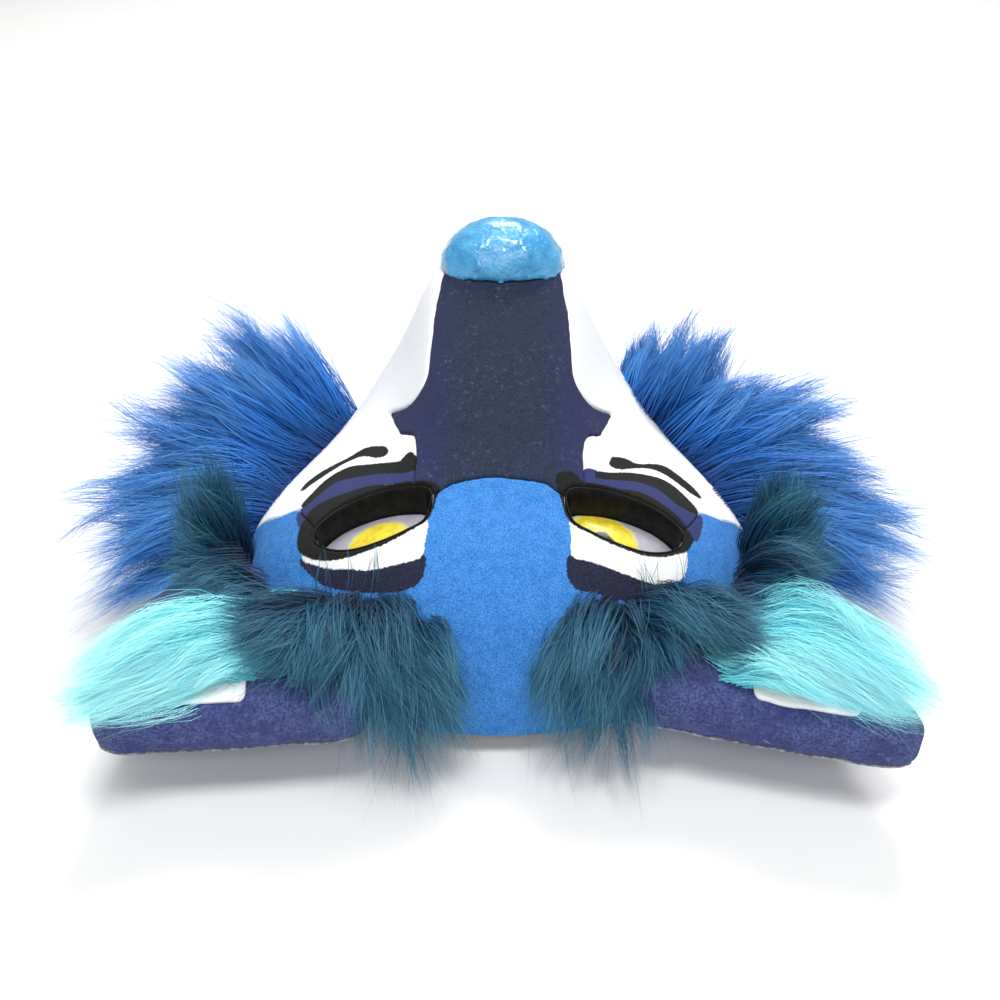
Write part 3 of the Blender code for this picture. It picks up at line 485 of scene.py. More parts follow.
def grid_triangles(rows, columns, closed=False):
    """Triangles of a grid of points, whose columns may close on themselves."""
    i, j = np.meshgrid(np.arange(rows - 1), np.arange(columns if closed else columns - 1), indexing="ij")
    a = i * columns + j
    b = i * columns + (j + 1) % columns
    c = b + columns
    d = a + columns
    return np.concatenate([np.stack([a, b, c], -1), np.stack([a, c, d], -1)], -1).reshape(-1, 3)


def lofted(rings, closed=False):
    """Points and outward triangles of a body lofted through rings of one size. Either both its ends are
    capped, or it is closed from its last ring to its first."""
    size = len(rings[0])
    last = (len(rings) - 1) * size
    triangles = [grid_triangles(len(rings), size, closed=True)]
    if closed:
        a = np.arange(size)
        b = (a + 1) % size
        triangles += [np.stack([a + last, b + last, b], 1), np.stack([a + last, b, a], 1)]
    else:
        second = np.arange(1, size - 1)
        for first, turn in ((0, 1), (last, -1)):
            fan = np.stack([np.full(size - 2, first), first + second + 1, first + second], 1)
            triangles.append(fan[:, ::turn])
    triangles = np.concatenate(triangles)
    if plan_area(rings[0]) < 0:
        triangles = triangles[:, ::-1]
    return np.concatenate(rings), triangles


def cut(data, triangles, values):
    """Splits the triangles where values cross zero. Returns the data with the new points, the triangles and
    the values."""
    values = np.where(np.abs(values) < 1e-6, 0, values)
    side = values[triangles] > 0
    count = side.sum(1)
    whole = (count == 0) | (count == 3)
    split = ~whole
    tri = triangles[split]
    side = side[split]
    lone = np.where(side.sum(1) == 1, side.argmax(1), (~side).argmax(1))
    turned = np.take_along_axis(tri, (lone[:, None] + np.arange(3)) % 3, 1)
    first, second, third = turned.T
    pairs = np.concatenate([np.stack([first, second], 1), np.stack([first, third], 1)])
    ordered = np.sort(pairs, 1)
    edges, index = np.unique(ordered, axis=0, return_inverse=True)
    index = index.reshape(-1)
    va, vb = values[edges[:, 0]], values[edges[:, 1]]
    t = np.clip(va / np.where(va == vb, 1, va - vb), 0, 1)[:, None]
    made = data[edges[:, 0]] * (1 - t) + data[edges[:, 1]] * t
    base = len(data)
    p = base + index[: len(tri)]
    q = base + index[len(tri) :]
    triangles = np.concatenate([
        triangles[whole],
        np.stack([first, p, q], 1),
        np.stack([p, second, third], 1),
        np.stack([p, third, q], 1),
    ])
    return np.concatenate([data, made]), triangles, np.concatenate([values, np.zeros(len(made))])


def kept(data, triangles, wanted):
    """Only the wanted triangles and the points that they use."""
    triangles = triangles[wanted]
    used, index = np.unique(triangles, return_inverse=True)
    return data[used], index.reshape(-1, 3)


def border(triangles):
    """Directed edges that only one triangle has."""
    edges = np.concatenate([triangles[:, [0, 1]], triangles[:, [1, 2]], triangles[:, [2, 0]]])
    ordered = np.sort(edges, 1)
    _, index, count = np.unique(ordered, axis=0, return_inverse=True, return_counts=True)
    return edges[count[index.reshape(-1)] == 1]


# The face surface, fine enough for painted lines.
PAINT_ORDER = ("black", "navy", "white", "brow")
# The largest distance from a painted outline that is told apart.
PAINT_FAR = 1.5
face = face_grid(ALONG, ACROSS)
felt_under = raised(face, UNDER_FELT)
felt_over = raised(face, FELT_TOP)
shell_under = raised(face, -SHELL_WALL)
run_along = np.concatenate([
    np.zeros((1, len(ACROSS))), np.cumsum(np.linalg.norm(np.diff(felt_over, axis=0), axis=-1), axis=0)
])
end_distance = np.minimum(run_along, run_along[-1:] - run_along).reshape(-1)
plan = felt_over.reshape(-1, 3)[:, :2]
eye_ring = {side: on_side(side, smooth_ring(EYE, 8)) for side in SIDES}
across_left = [(-x, y) for x, y in FOREHEAD_EDGE[:0:-1]]
forehead_ring = np.array(across_left + list(FOREHEAD_EDGE) + [(10, -FAR), (-10, -FAR)], float)
bridge_line = np.concatenate([
    smooth_line(BRIDGE_EDGE[: BRIDGE_SPIKE + 1], 4), smooth_line(BRIDGE_EDGE[BRIDGE_SPIKE:], 4)[1:]
])
bridge_ring = np.concatenate([bridge_line * [-1, 1], bridge_line[::-1]])

hand_cut = wobble(plan, 1.1, 0.05) + wobble(plan, 3.7, 0.02, 5.0)
in_forehead = inside_by(plan, forehead_ring) + hand_cut
in_bridge = inside_by(plan, bridge_ring) + hand_cut
in_eye = np.maximum(inside_by(plan, eye_ring["left"]), inside_by(plan, eye_ring["right"]))
paint = {
    key: np.max([inside_by(plan, smooth_ring(outline, 3)) for outline in outlines], axis=0)
    for key, outlines in PAINT.items()
}
paint["black"] = np.maximum(paint["black"], in_eye + EYE_LINE)
for key in paint:
    paint[key] = np.clip(paint[key], -PAINT_FAR, PAINT_FAR)

grid_uv = np.stack(np.meshgrid(
    np.linspace(0, 1, len(ALONG)), np.linspace(0, 1, len(ACROSS)), indexing="ij"
), -1).reshape(-1, 2)[:, ::-1]
SURFACE = np.concatenate([
    felt_over.reshape(-1, 3),
    felt_under.reshape(-1, 3),
    grid_uv,
    np.stack([paint[key] for key in PAINT_ORDER], 1),
    end_distance[:, None],
], axis=1)
SHELL_STEP = 2
# Where a panel's map holds its upper and its lower face, as corner and size, and the width of its walls
# there.
TOP_MAP = np.array([(0.01, 0.01), (0.76, 0.98)])
LOW_MAP = np.array([(0.80, 0.01), (0.19, 0.98)])
WALL_STRIP = 0.003
UV_COLUMNS = slice(6, 8)
PAINT_COLUMNS = slice(8, 12)
END_COLUMN = 12


def panel(name, limits, low, faces=None, round_edge=FELT_ROUND, step=1):
    """A layer of the face inside every limit, a list of signed distances, with walls round it and a softened
    upper edge. low is the height of its hem over the table, faces replaces the layer's two faces, and step
    thins its grid. Returns the object and the area of its upper face."""
    data = SURFACE.copy()
    if faces is not None:
        data[:, 0:3], data[:, 3:6] = (part.reshape(-1, 3) for part in faces)
    columns = data.shape[1]
    limits = [*limits, data[:, 2] - low]
    data = np.concatenate([data, np.stack(limits, 1)], 1)
    data = data.reshape(len(ALONG), len(ACROSS), -1)[::step, ::step]
    triangles = grid_triangles(*data.shape[:2])
    data = data.reshape(-1, data.shape[2])
    for k in range(len(limits)):
        data, triangles, values = cut(data, triangles, data[:, columns + k])
        data[:, columns + k] = values
        data, triangles = kept(data, triangles, values[triangles].min(1) >= 0)
    over = data[:, 0:3]
    if round_edge:
        nearest = np.minimum(data[:, columns:].min(1), data[:, END_COLUMN])
        data = np.concatenate([data, (nearest - round_edge)[:, None]], 1)
        data, triangles, values = cut(data, triangles, data[:, -1])
        t = np.clip(data[:, -1:] / round_edge + 1, 0, 1)
        height = EDGE_LOW + (1 - EDGE_LOW) * np.sqrt(1 - (1 - t) ** 2)
        over = data[:, 3:6] + height * (data[:, 0:3] - data[:, 3:6])
    count = len(data)
    a, b = border(triangles).T
    walls = np.concatenate([np.stack([a, a + count, b + count], 1), np.stack([a, b + count, b], 1)])
    every = np.concatenate([triangles, triangles[:, ::-1] + count, walls])
    uv = data[:, UV_COLUMNS]
    uv = (uv - uv.min(0)) / np.ptp(uv, axis=0)
    top_uv = TOP_MAP[0] + uv * TOP_MAP[1]
    low_uv = LOW_MAP[0] + uv * LOW_MAP[1]
    wall_uv = np.where((walls < count)[..., None], top_uv[walls % count], top_uv[walls % count] + WALL_STRIP)
    corners = np.concatenate([top_uv[triangles], low_uv[triangles[:, ::-1]], wall_uv])
    attributes = dict(zip(PAINT_ORDER, np.tile(data[:, PAINT_COLUMNS], (2, 1)).T))
    sides = over[triangles[:, 1:]] - over[triangles[:, :1]]
    area = np.linalg.norm(np.cross(sides[:, 0], sides[:, 1]), axis=1).sum() / 2
    return build(name, np.concatenate([over, data[:, 3:6]]), every, corners, attributes), area


class Look:
    """A material's node tree, with short names for the nodes that felt, paint and fur need."""

    def __init__(self, name, roughness=0.9, **sockets):
        self.material = bpy.data.materials.new(name)
        self.material.use_nodes = True
        self.tree = self.material.node_tree
        self.shader = self.tree.nodes["Principled BSDF"]
        self.shader.inputs["Roughness"].default_value = roughness
        for key, value in sockets.items():
            self.shader.inputs[key.replace("_", " ")].default_value = value
        self.place = self.node("ShaderNodeTexCoord").outputs["Object"]

    def node(self, kind, **settings):
        made = self.tree.nodes.new(kind)
        for key, value in settings.items():
            setattr(made, key, value)
        return made

    def put(self, socket, value):
        if isinstance(value, bpy.types.NodeSocket):
            self.tree.links.new(value, socket)
        elif value is not None:
            socket.default_value = value

    def attribute(self, name):
        return self.node("ShaderNodeAttribute", attribute_name=name).outputs["Fac"]

    def noise(self, scale, detail=3.0, roughness=0.5, distortion=0.0, stretch=None):
        made = self.node("ShaderNodeTexNoise")
        place = self.place
        if stretch is not None:
            mapping = self.node("ShaderNodeMapping")
            mapping.inputs["Scale"].default_value = stretch
            self.put(mapping.inputs["Vector"], place)
            place = mapping.outputs["Vector"]
        self.put(made.inputs["Vector"], place)
        values = {"Scale": scale, "Detail": detail, "Roughness": roughness, "Distortion": distortion}
        for key, value in values.items():
            made.inputs[key].default_value = value
        return made.outputs["Fac"]

    def math(self, operation, a, b=None):
        made = self.node("ShaderNodeMath", operation=operation)
        self.put(made.inputs[0], a)
        self.put(made.inputs[1], b)
        return made.outputs[0]

    def span(self, value, low, high, to_low=0.0, to_high=1.0, smooth=False):
        made = self.node("ShaderNodeMapRange", interpolation_type="SMOOTHSTEP" if smooth else "LINEAR")
        for socket, entry in zip(made.inputs, (value, low, high, to_low, to_high)):
            self.put(socket, entry)
        return made.outputs[0]

    def mix(self, share, a, b):
        made = self.node("ShaderNodeMix", data_type="RGBA")
        self.put(made.inputs["Factor"], share)
        for socket, entry in ((made.inputs[6], a), (made.inputs[7], b)):
            self.put(socket, (*entry, 1) if isinstance(entry, tuple) else entry)
        return made.outputs[2]

    def ramp(self, value, stops):
        made = self.node("ShaderNodeValToRGB")
        elements = made.color_ramp.elements
        while len(elements) < len(stops):
            elements.new(1)
        for element, (at, colour) in zip(elements, stops):
            element.position = at
            element.color = (*colour, 1)
        self.put(made.inputs["Fac"], value)
        return made.outputs["Color"]

    def bump(self, height, distance, strength=1.0, over=None):
        made = self.node("ShaderNodeBump")
        made.inputs["Strength"].default_value = strength
        made.inputs["Distance"].default_value = distance
        self.put(made.inputs["Height"], height)
        if over is not None:
            self.put(made.inputs["Normal"], over)
        return made.outputs["Normal"]

    def finish(self, colour, normal=None, roughness=None):
        self.put(self.shader.inputs["Base Color"], (*colour, 1) if isinstance(colour, tuple) else colour)
        self.put(self.shader.inputs["Normal"], normal)
        self.put(self.shader.inputs["Roughness"], roughness)
        return self.material


BLACK_PAINT = (0.014, 0.015, 0.013)
# Attribute, tint, how far it reaches past its outline in centimetres, and how strongly it is mottled.
PAINTS = (
    ("navy", (0.038, 0.048, 0.160), 0.08, 0.28),
    ("brow", (0.028, 0.031, 0.068), 0.07, 0.60),
    ("white", (0.90, 0.91, 0.90), 0.0, 0.05),
    ("black", BLACK_PAINT, 0.0, 0.28),
)


def felt(name, dark, light, pills=None, flanks=None, paints=PAINTS):
    """Needled felt: two sizes of mottle, a fibrous bump, lighter pills, and the paint that the attributes
    give. flanks tints it away from the middle of the face."""
    look = Look(name, roughness=0.95, Specular_IOR_Level=0.10, Sheen_Weight=0.04, Sheen_Roughness=0.6)
    fine = look.noise(2300.0, 3.0, 0.7)
    coarse = look.noise(300.0, 3.0, 0.6)
    mottle = look.math("ADD", look.math("MULTIPLY", fine, 0.8), look.math("MULTIPLY", coarse, 0.2))
    colour = look.mix(look.span(mottle, 0.38, 0.62), dark, light)
    fibres = look.noise(620.0, 2.0, 0.6, 1.5, (1.0, 3.5, 1.0))
    if flanks is not None:
        split = look.node("ShaderNodeSeparateXYZ")
        look.put(split.inputs[0], look.place)
        aside = look.math("ABSOLUTE", look.math("ADD", split.outputs[0], MIDDLE[0] * CM))
        colour = look.mix(look.span(aside, 0.013, 0.026, smooth=True), colour, flanks)
        colour = look.mix(look.span(fine, 0.45, 0.62, 0.0, 0.35), colour, light)
    if pills is not None:
        worn = look.span(look.noise(60.0, 2.0), 0.40, 0.68)
        dots = look.span(look.noise(620.0, 2.0, 0.7), 0.58, 0.74)
        colour = look.mix(look.math("MULTIPLY", worn, dots), colour, pills)
    ragged = look.math("MULTIPLY", look.math("SUBTRACT", look.noise(1100.0, 2.0), 0.5), 0.10)
    for key, tint, reach, mottling in paints:
        amount = look.span(look.math("ADD", look.attribute(key), ragged), -0.015 - reach, 0.015 - reach)
        tint_dark = tuple((1 - mottling) * c for c in tint)
        colour = look.mix(amount, colour, look.mix(look.span(fine, 0.4, 0.6), tint_dark, tint))
    normal = look.bump(look.math("ADD", fine, look.math("MULTIPLY", fibres, 0.5)), 0.0004, 0.7)
    normal = look.bump(coarse, 0.0005, 0.3, normal)
    return look.finish(colour, normal)


def dress(obj, material, slot, *nodes):
    obj.data.materials.clear()
    obj.data.materials.append(material)
    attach(obj, "root")
    if nodes:
        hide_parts(*nodes)


def declare_sheet(flat):
    """flat is in centimetres. It is turned into metres and then dropped; nothing is declared."""
    flat = (flat[0] * CM, flat[1] * CM)


def shell_plastic():
    look = Look("shell moulded", roughness=0.55, Specular_IOR_Level=0.3)
    grain = look.noise(260.0, 4.0, 0.6)
    stain = look.span(look.noise(35.0, 3.0), 0.35, 0.65)
    # The dark grey-brown is partly the shell's own colour and partly painted shade, standing in for the dark
    # band under the forehead rim. The mottle between the two tones is random.
    colour = look.mix(stain, (0.055, 0.048, 0.042), (0.095, 0.084, 0.074))
    return look.finish(colour, look.bump(grain, 0.0003, 0.5))


# Shell and felts.
shell, _ = panel("moulded_shell", [-in_eye], 0.0, (face, shell_under), 0, SHELL_STEP)
dress(shell, shell_plastic(), "shell_plastic", "mask_shell")

blue_felt = felt("blue felt", (0.017, 0.125, 0.41), (0.076, 0.30, 0.74))
navy_felt = felt(
    "navy felt", (0.012, 0.018, 0.038), (0.030, 0.042, 0.082), pills=(0.10, 0.12, 0.17),
    flanks=(0.024, 0.028, 0.092), paints=PAINTS[1:],
)
white_felt = felt("white felt", (0.90, 0.91, 0.91), (0.96, 0.97, 0.97))

# The rectangle that each panel is cut from.
FOREHEAD_FLAT = (25.0, 10.5)
BRIDGE_FLAT = (7.8, 11.0)
CHEEK_FLAT = (13.0, 16.0)

forehead, forehead_area = panel("blue_forehead_felt", [in_forehead, -in_eye], FELT_HEM)
dress(forehead, blue_felt, "forehead_blue_felt", "forehead_felt")
bridge, bridge_area = panel("navy_bridge_felt", [in_bridge, -in_forehead - SEAM_GAP, -in_eye], FELT_HEM)
dress(bridge, navy_felt, "navy_felt", "bridge_felt")
for side, sign in (("left", -1), ("right", 1)):
    half = sign * plan[:, 0] - SEAM_GAP
    limits = [half, -in_forehead - SEAM_GAP, -in_bridge - SEAM_GAP, -in_eye]
    cheek, cheek_area = panel(f"white_cheek_felt_{side}", limits, FELT_HEM)
    dress(cheek, white_felt, "white_felt", f"cheek_felt_{side}")
    declare_sheet(CHEEK_FLAT)
declare_sheet(FOREHEAD_FLAT)
declare_sheet(BRIDGE_FLAT)

DOWN = Vector((0, 0, -1))
felt_tree = BVHTree.FromPolygons(
    felt_over.reshape(-1, 3).tolist(), grid_triangles(len(ALONG), len(ACROSS)).tolist()
)


def felt_height(points):
    return np.array([felt_tree.ray_cast(Vector((x, y, FAR)), DOWN)[0].z for x, y in points])


def at_height(outline, height):
    outline = np.asarray(outline, float)
    return np.column_stack([outline, np.broadcast_to(height, len(outline))])


# Eyes: a painted socket in each hole and a domed, painted panel near its bottom.

# The socket's lip, as how far inward and how far below the felt its points lie. The second one flares out to
# meet the felt's cut edge.
SOCKET_PROFILE = (
    (0.0, 0.17), (-0.022, 0.12), (0.0, 0.07), (0.01, 0.045),
    (0.03, 0.04), (0.05, 0.07), (0.07, 0.16), (SOCKET_WALL, 0.42),
)
SOCKET_WAIST = 0.9
PANEL_RINGS = np.linspace(1, 0.03, 16)

# The iris is a little taller than wide.
IRIS = {"left": (-3.50, -4.15), "right": (3.06, -3.76)}
IRIS_RADIUS = 1.15
IRIS_SQUEEZE = 0.92
IRIS_RIM = 0.16
PUPIL_RADIUS = 0.40


def socket_paint():
    look = Look("socket paint", roughness=0.42, Specular_IOR_Level=0.25)
    lumps = look.noise(330.0, 3.0, 0.6)
    colour = look.mix(look.span(lumps, 0.4, 0.6), (0.003, 0.003, 0.003), (0.009, 0.009, 0.008))
    return look.finish(colour, look.bump(lumps, 0.0005, 0.4))


def eye_paint():
    """A yellow iris with a lighter rim round a black pupil, on a shaded white."""
    look = Look("painted eye", roughness=0.3, Coat_Weight=0.4, Coat_Roughness=0.15)
    ragged = look.math("MULTIPLY", look.math("SUBTRACT", look.noise(420.0, 3.0), 0.5), 0.18)
    away = look.math("ADD", look.attribute("iris"), ragged)
    # Both greys of the white are kept dark as painted shade from the deep socket. The mottle between them is
    # random.
    white = look.mix(look.noise(150.0, 3.0), (0.30, 0.28, 0.33), (0.56, 0.54, 0.62))
    streaks = look.span(look.noise(240.0, 3.0, 0.6, 0.6), 0.35, 0.65)
    yellow = look.mix(streaks, (0.62, 0.46, 0.012), (0.86, 0.70, 0.05))
    rim = look.span(away, IRIS_RADIUS - IRIS_RIM, IRIS_RADIUS, smooth=True)
    yellow = look.mix(rim, yellow, (0.70, 0.64, 0.20))
    colour = look.mix(look.span(away, IRIS_RADIUS - 0.05, IRIS_RADIUS + 0.05), yellow, white)
    pupil = look.span(away, PUPIL_RADIUS - 0.04, PUPIL_RADIUS + 0.04)
    colour = look.mix(pupil, BLACK_PAINT, colour)
    return look.finish(colour, look.bump(look.noise(300.0, 3.0), 0.0003, 0.4))


def socket(side):
    outer = grown(eye_ring[side], -GAP)
    outer_top = felt_height(outer)
    rings = [at_height(outer, outer_top - SOCKET_DEPTH)]
    for inward, drop in SOCKET_PROFILE:
        outline = grown(outer, -inward)
        rings.append(at_height(outline, felt_height(outline) - drop))
    inner = grown(outer, -SOCKET_WALL)
    rings += [at_height(inner, outer_top - drop) for drop in (SOCKET_WAIST, SOCKET_DEPTH)]
    return build(f"black_socket_{side}", *lofted(rings, closed=True))


def painted_eye(side):
    plate = grown(eye_ring[side], -2 * GAP - SOCKET_WALL)
    middle = plate.mean(axis=0)
    upper = []
    lower = []
    for reach in PANEL_RINGS:
        ring = middle + reach * (plate - middle)
        top = felt_height(ring) - PANEL_DEPTH + PANEL_DOME * (1 - reach**2)
        upper.append(at_height(ring, top))
        lower.append(at_height(ring, top - PANEL))
    points, triangles = lofted(lower[::-1] + upper)
    x, y = IRIS[side]
    iris = np.hypot(points[:, 0] - x, (points[:, 1] - y) * IRIS_SQUEEZE)
    return build(f"painted_eye_{side}", points, triangles, attributes={"iris": iris})


socket_material = socket_paint()
eye_material = eye_paint()
for side in SIDES:
    dress(socket(side), socket_material, "socket_black", f"eye_socket_{side}")
    dress(painted_eye(side), eye_material, "eye_print", f"eye_panel_{side}")


def copy_of(node, name):
    """A new object with a copy of a CAD node's mesh."""
    mesh = bpy.data.meshes.new_from_object(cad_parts[node])
    mesh.materials.clear()
    obj = bpy.data.objects.new(name, mesh)
    bpy.context.scene.collection.objects.link(obj)
    return obj


def settled(obj):
    """The object with its modifiers applied."""
    bpy.context.view_layer.update()
    mesh = bpy.data.meshes.new_from_object(obj.evaluated_get(bpy.context.evaluated_depsgraph_get()))
    obj.modifiers.clear()
    obj.data = mesh
    return obj


def remeshed(obj, voxel, smoothing):
    step = obj.modifiers.new("even", "REMESH")
    step.mode = "VOXEL"
    step.voxel_size = voxel * CM
    soft = obj.modifiers.new("soft", "SMOOTH")
    soft.iterations = smoothing
    soft.factor = 0.5
    return settled(obj)


def coordinates(mesh):
    found = np.empty(len(mesh.vertices) * 3, np.float32)
    mesh.vertices.foreach_get("co", found)
    return found.reshape(-1, 3).astype(float)


def set_coordinates(mesh, points):
    mesh.vertices.foreach_set("co", points.astype(np.float32).ravel())
    mesh.update()


def lumpy(obj, lift, waves):
    """Moves a mesh out along its normals by lift and by smooth random waves, each a height in centimetres
    and a scale, and shades it smooth."""
    points = coordinates(obj.data)
    normals = np.empty(len(points) * 3, np.float32)
    obj.data.vertex_normals.foreach_get("vector", normals)
    amounts = np.full(len(points), lift)
    for height, scale in waves:
        amounts += height * np.array([noise.noise(Vector(p * scale)) for p in points])
    set_coordinates(obj.data, points + normals.reshape(-1, 3) * (amounts * CM)[:, None])
    obj.data.polygons.foreach_set("use_smooth", np.ones(len(obj.data.polygons), bool))


# The nose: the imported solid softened, with the lumps of a hand-painted casting.
NOSE_VOXEL = 0.09
NOSE_SMOOTHING = 8
NOSE_LIFT = 0.02
NOSE_WAVES = ((0.055, 95), (0.026, 260), (0.014, 600))


def nose_paint():
    look = Look("nose paint", roughness=0.14, Coat_Weight=0.5, Coat_Roughness=0.05)
    # Random patches of a lighter blue: partly the paint's own uneven tone, partly painted highlight.
    tone_and_highlight_patches = look.span(look.noise(110.0, 3.0, 0.6), 0.35, 0.68)
    colour = look.mix(tone_and_highlight_patches, (0.040, 0.29, 0.58), (0.110, 0.44, 0.74))
    chips = look.span(look.noise(240.0, 2.0, 0.5, 0.4), 0.74, 0.78)
    colour = look.mix(chips, colour, (0.20, 0.26, 0.33))
    return look.finish(colour, look.bump(look.noise(190.0, 4.0, 0.6), 0.0022, 0.75))


nose = remeshed(copy_of("nose", "glossy_nose"), NOSE_VOXEL, NOSE_SMOOTHING)
lumpy(nose, NOSE_LIFT, NOSE_WAVES)
dress(nose, nose_paint(), "nose_gloss", "nose")

# Ears: foam in felt, swollen a little by a cloth run with pressure inside.
EAR_VOXEL = 0.30
EAR_SMOOTHING = 2
EAR_WAVES = ((0.05, 60), (0.02, 210))
SWELL_CAP = 0.10
SWELL_FRAMES = 20

# The seam's cross-section, as how far out and how high its points lie, and how far in the ear is looked for.
SEAM_HEIGHT = EAR_LOW + 0.15
SEAM_PROFILE = ((-0.10, 0.0), (0.05, -0.025), (0.085, 0.0), (0.05, 0.025), (-0.10, 0.02))
SEAM_SEARCH = 3

# The lining's rings, as their share of its outline and of its thickness.
LINING_EDGE = ((1, 0.0), (1, 0.5), (0.992, 0.85), (0.97, 1.0))
LINING_RINGS = (*LINING_EDGE, *((reach, 1.0) for reach in np.linspace(0.92, 0.04, 12)))
LINING_SINK = 0.1


def swell(ear):
    """Fills the felt with pressure, as foam does, and keeps each point within SWELL_CAP of where it was."""
    before = coordinates(ear.data)
    cloth = ear.modifiers.new("padding", "CLOTH")
    cloth.settings.quality = 5
    cloth.settings.mass = 0.3
    cloth.settings.tension_stiffness = 30
    cloth.settings.compression_stiffness = 30
    cloth.settings.bending_stiffness = 1
    cloth.settings.use_pressure = True
    cloth.settings.uniform_pressure_force = 4
    cloth.settings.effector_weights.gravity = 0
    cloth.point_cache.frame_start = 1
    cloth.point_cache.frame_end = SWELL_FRAMES
    for number in range(1, SWELL_FRAMES + 1):
        bpy.context.scene.frame_set(number)
    settled(ear)
    bpy.context.scene.frame_set(1)
    moved = coordinates(ear.data) - before
    length = np.linalg.norm(moved, axis=1, keepdims=True)
    moved *= np.minimum(1, SWELL_CAP * CM / np.maximum(length, 1e-9))
    set_coordinates(ear.data, before + moved)


def padded_ear(side):
    ear = remeshed(copy_of(f"ear_{side}", f"padded_ear_{side}"), EAR_VOXEL, EAR_SMOOTHING)
    swell(ear)
    finer = ear.modifiers.new("finer", "SUBSURF")
    finer.levels = 2
    finer.render_levels = 2
    settled(ear)
    lumpy(ear, 0.0, EAR_WAVES)
    return ear


def ear_felt():
    look = Look("ear felt", roughness=0.92, Specular_IOR_Level=0.12, Sheen_Weight=0.05, Sheen_Roughness=0.55)
    fine = look.noise(1300.0, 4.0, 0.65)
    cloud = look.noise(85.0, 3.0, 0.6)
    knots = look.noise(300.0, 3.0, 0.7)
    colour = look.mix(look.span(fine, 0.38, 0.64), (0.034, 0.048, 0.145), (0.105, 0.140, 0.35))
    colour = look.mix(look.span(cloud, 0.42, 0.66), colour, (0.036, 0.046, 0.17))
    pills = look.math("MULTIPLY", look.span(knots, 0.56, 0.70), look.span(cloud, 0.40, 0.62))
    colour = look.mix(pills, colour, (0.17, 0.20, 0.36))
    return look.finish(colour, look.bump(look.math("ADD", fine, knots), 0.0009, 0.8))


def cut_felt():
    look = Look("cut felt seam", roughness=0.95)
    worn = look.span(look.noise(600.0, 3.0, 0.7), 0.42, 0.62)
    colour = look.mix(worn, (0.16, 0.16, 0.22), (0.52, 0.49, 0.51))
    return look.finish(colour, look.bump(look.noise(900.0, 3.0), 0.0006, 0.8))


def ear_seam(side, ear_tree):
    """The felt's cut edge, a thin wavy flange along the ear's lower edge."""
    ring = on_side(side, smooth_ring(EAR_OUTLINE[side], 12))
    out = unit(grown(ring, 0.1) - ring)
    level = SEAM_HEIGHT + wobble(ring, 2.1, 0.06, 3.0) + wobble(ring, 7.0, 0.03, 6.0)
    feet = []
    for (x, y), (dx, dy), z in zip(ring, out, level):
        hit = ear_tree.ray_cast(Vector((x + dx, y + dy, z)), Vector((-dx, -dy, 0)), SEAM_SEARCH)[0]
        feet.append((x, y) if hit is None else (hit.x, hit.y))
    flange = [at_height(np.array(feet) + reach * out, level + lift) for reach, lift in SEAM_PROFILE]
    points, triangles = lofted(flange, closed=True)
    return build(f"ear_seam_{side}", points, triangles)


def ear_lining(side, ear_tree):
    """White felt that follows the ear's upper face."""
    ring = on_side(side, smooth_ring(LINING_OUTLINE[side], 10))
    middle = ring.mean(axis=0)
    rings = []
    floors = []
    for reach, share in LINING_RINGS:
        outline = middle + reach * (ring - middle)
        base = []
        for x, y in outline:
            hit = ear_tree.ray_cast(Vector((x, y, FAR)), DOWN)[0]
            base.append(EAR_TOP if hit is None else max(hit.z, EAR_TOP - LINING_SINK))
        base = np.array(base) + GAP
        floors.append(at_height(outline, base))
        rings.append(at_height(outline, base + share * LINING))
    points, triangles = lofted(floors[: len(LINING_EDGE) - 1 : -1] + rings)
    unpainted = {key: np.full(len(points), -1.0) for key in PAINT_ORDER}
    lining = build(f"white_ear_lining_{side}", points, triangles, attributes=unpainted)
    return lining, abs(plan_area(ring)), np.ptp(ring, axis=0)


ear_material = ear_felt()
seam_material = cut_felt()
for side in SIDES:
    ear = padded_ear(side)
    dress(ear, ear_material, "ear_navy_felt", f"ear_{side}")
    ear_points = coordinates(ear.data) / CM + [*MIDDLE, 0]
    ear_faces = [tuple(polygon.vertices) for polygon in ear.data.polygons]
    ear_tree = BVHTree.FromPolygons(ear_points.tolist(), ear_faces)
    dress(ear_seam(side, ear_tree), seam_material, "ear_navy_felt")
    lining, lining_area, lining_flat = ear_lining(side, ear_tree)
    dress(lining, white_felt, "white_felt", f"ear_lining_{side}")
    declare_sheet(lining_flat)


# Fur.
def fur_material(name, dark, light):
    """dark and light each give a colour from root to tip, for the darkest and the lightest strands; the
    darker roots are painted shade deep in the pile.
    """
    look = Look(name, roughness=0.55, Specular_IOR_Level=0.35)
    along = look.attribute("along")
    colour = look.mix(look.attribute("tone"), look.ramp(along, dark), look.ramp(along, light))
    return look.finish(colour, roughness=look.span(along, 0.0, 1.0, 0.70, 0.45))


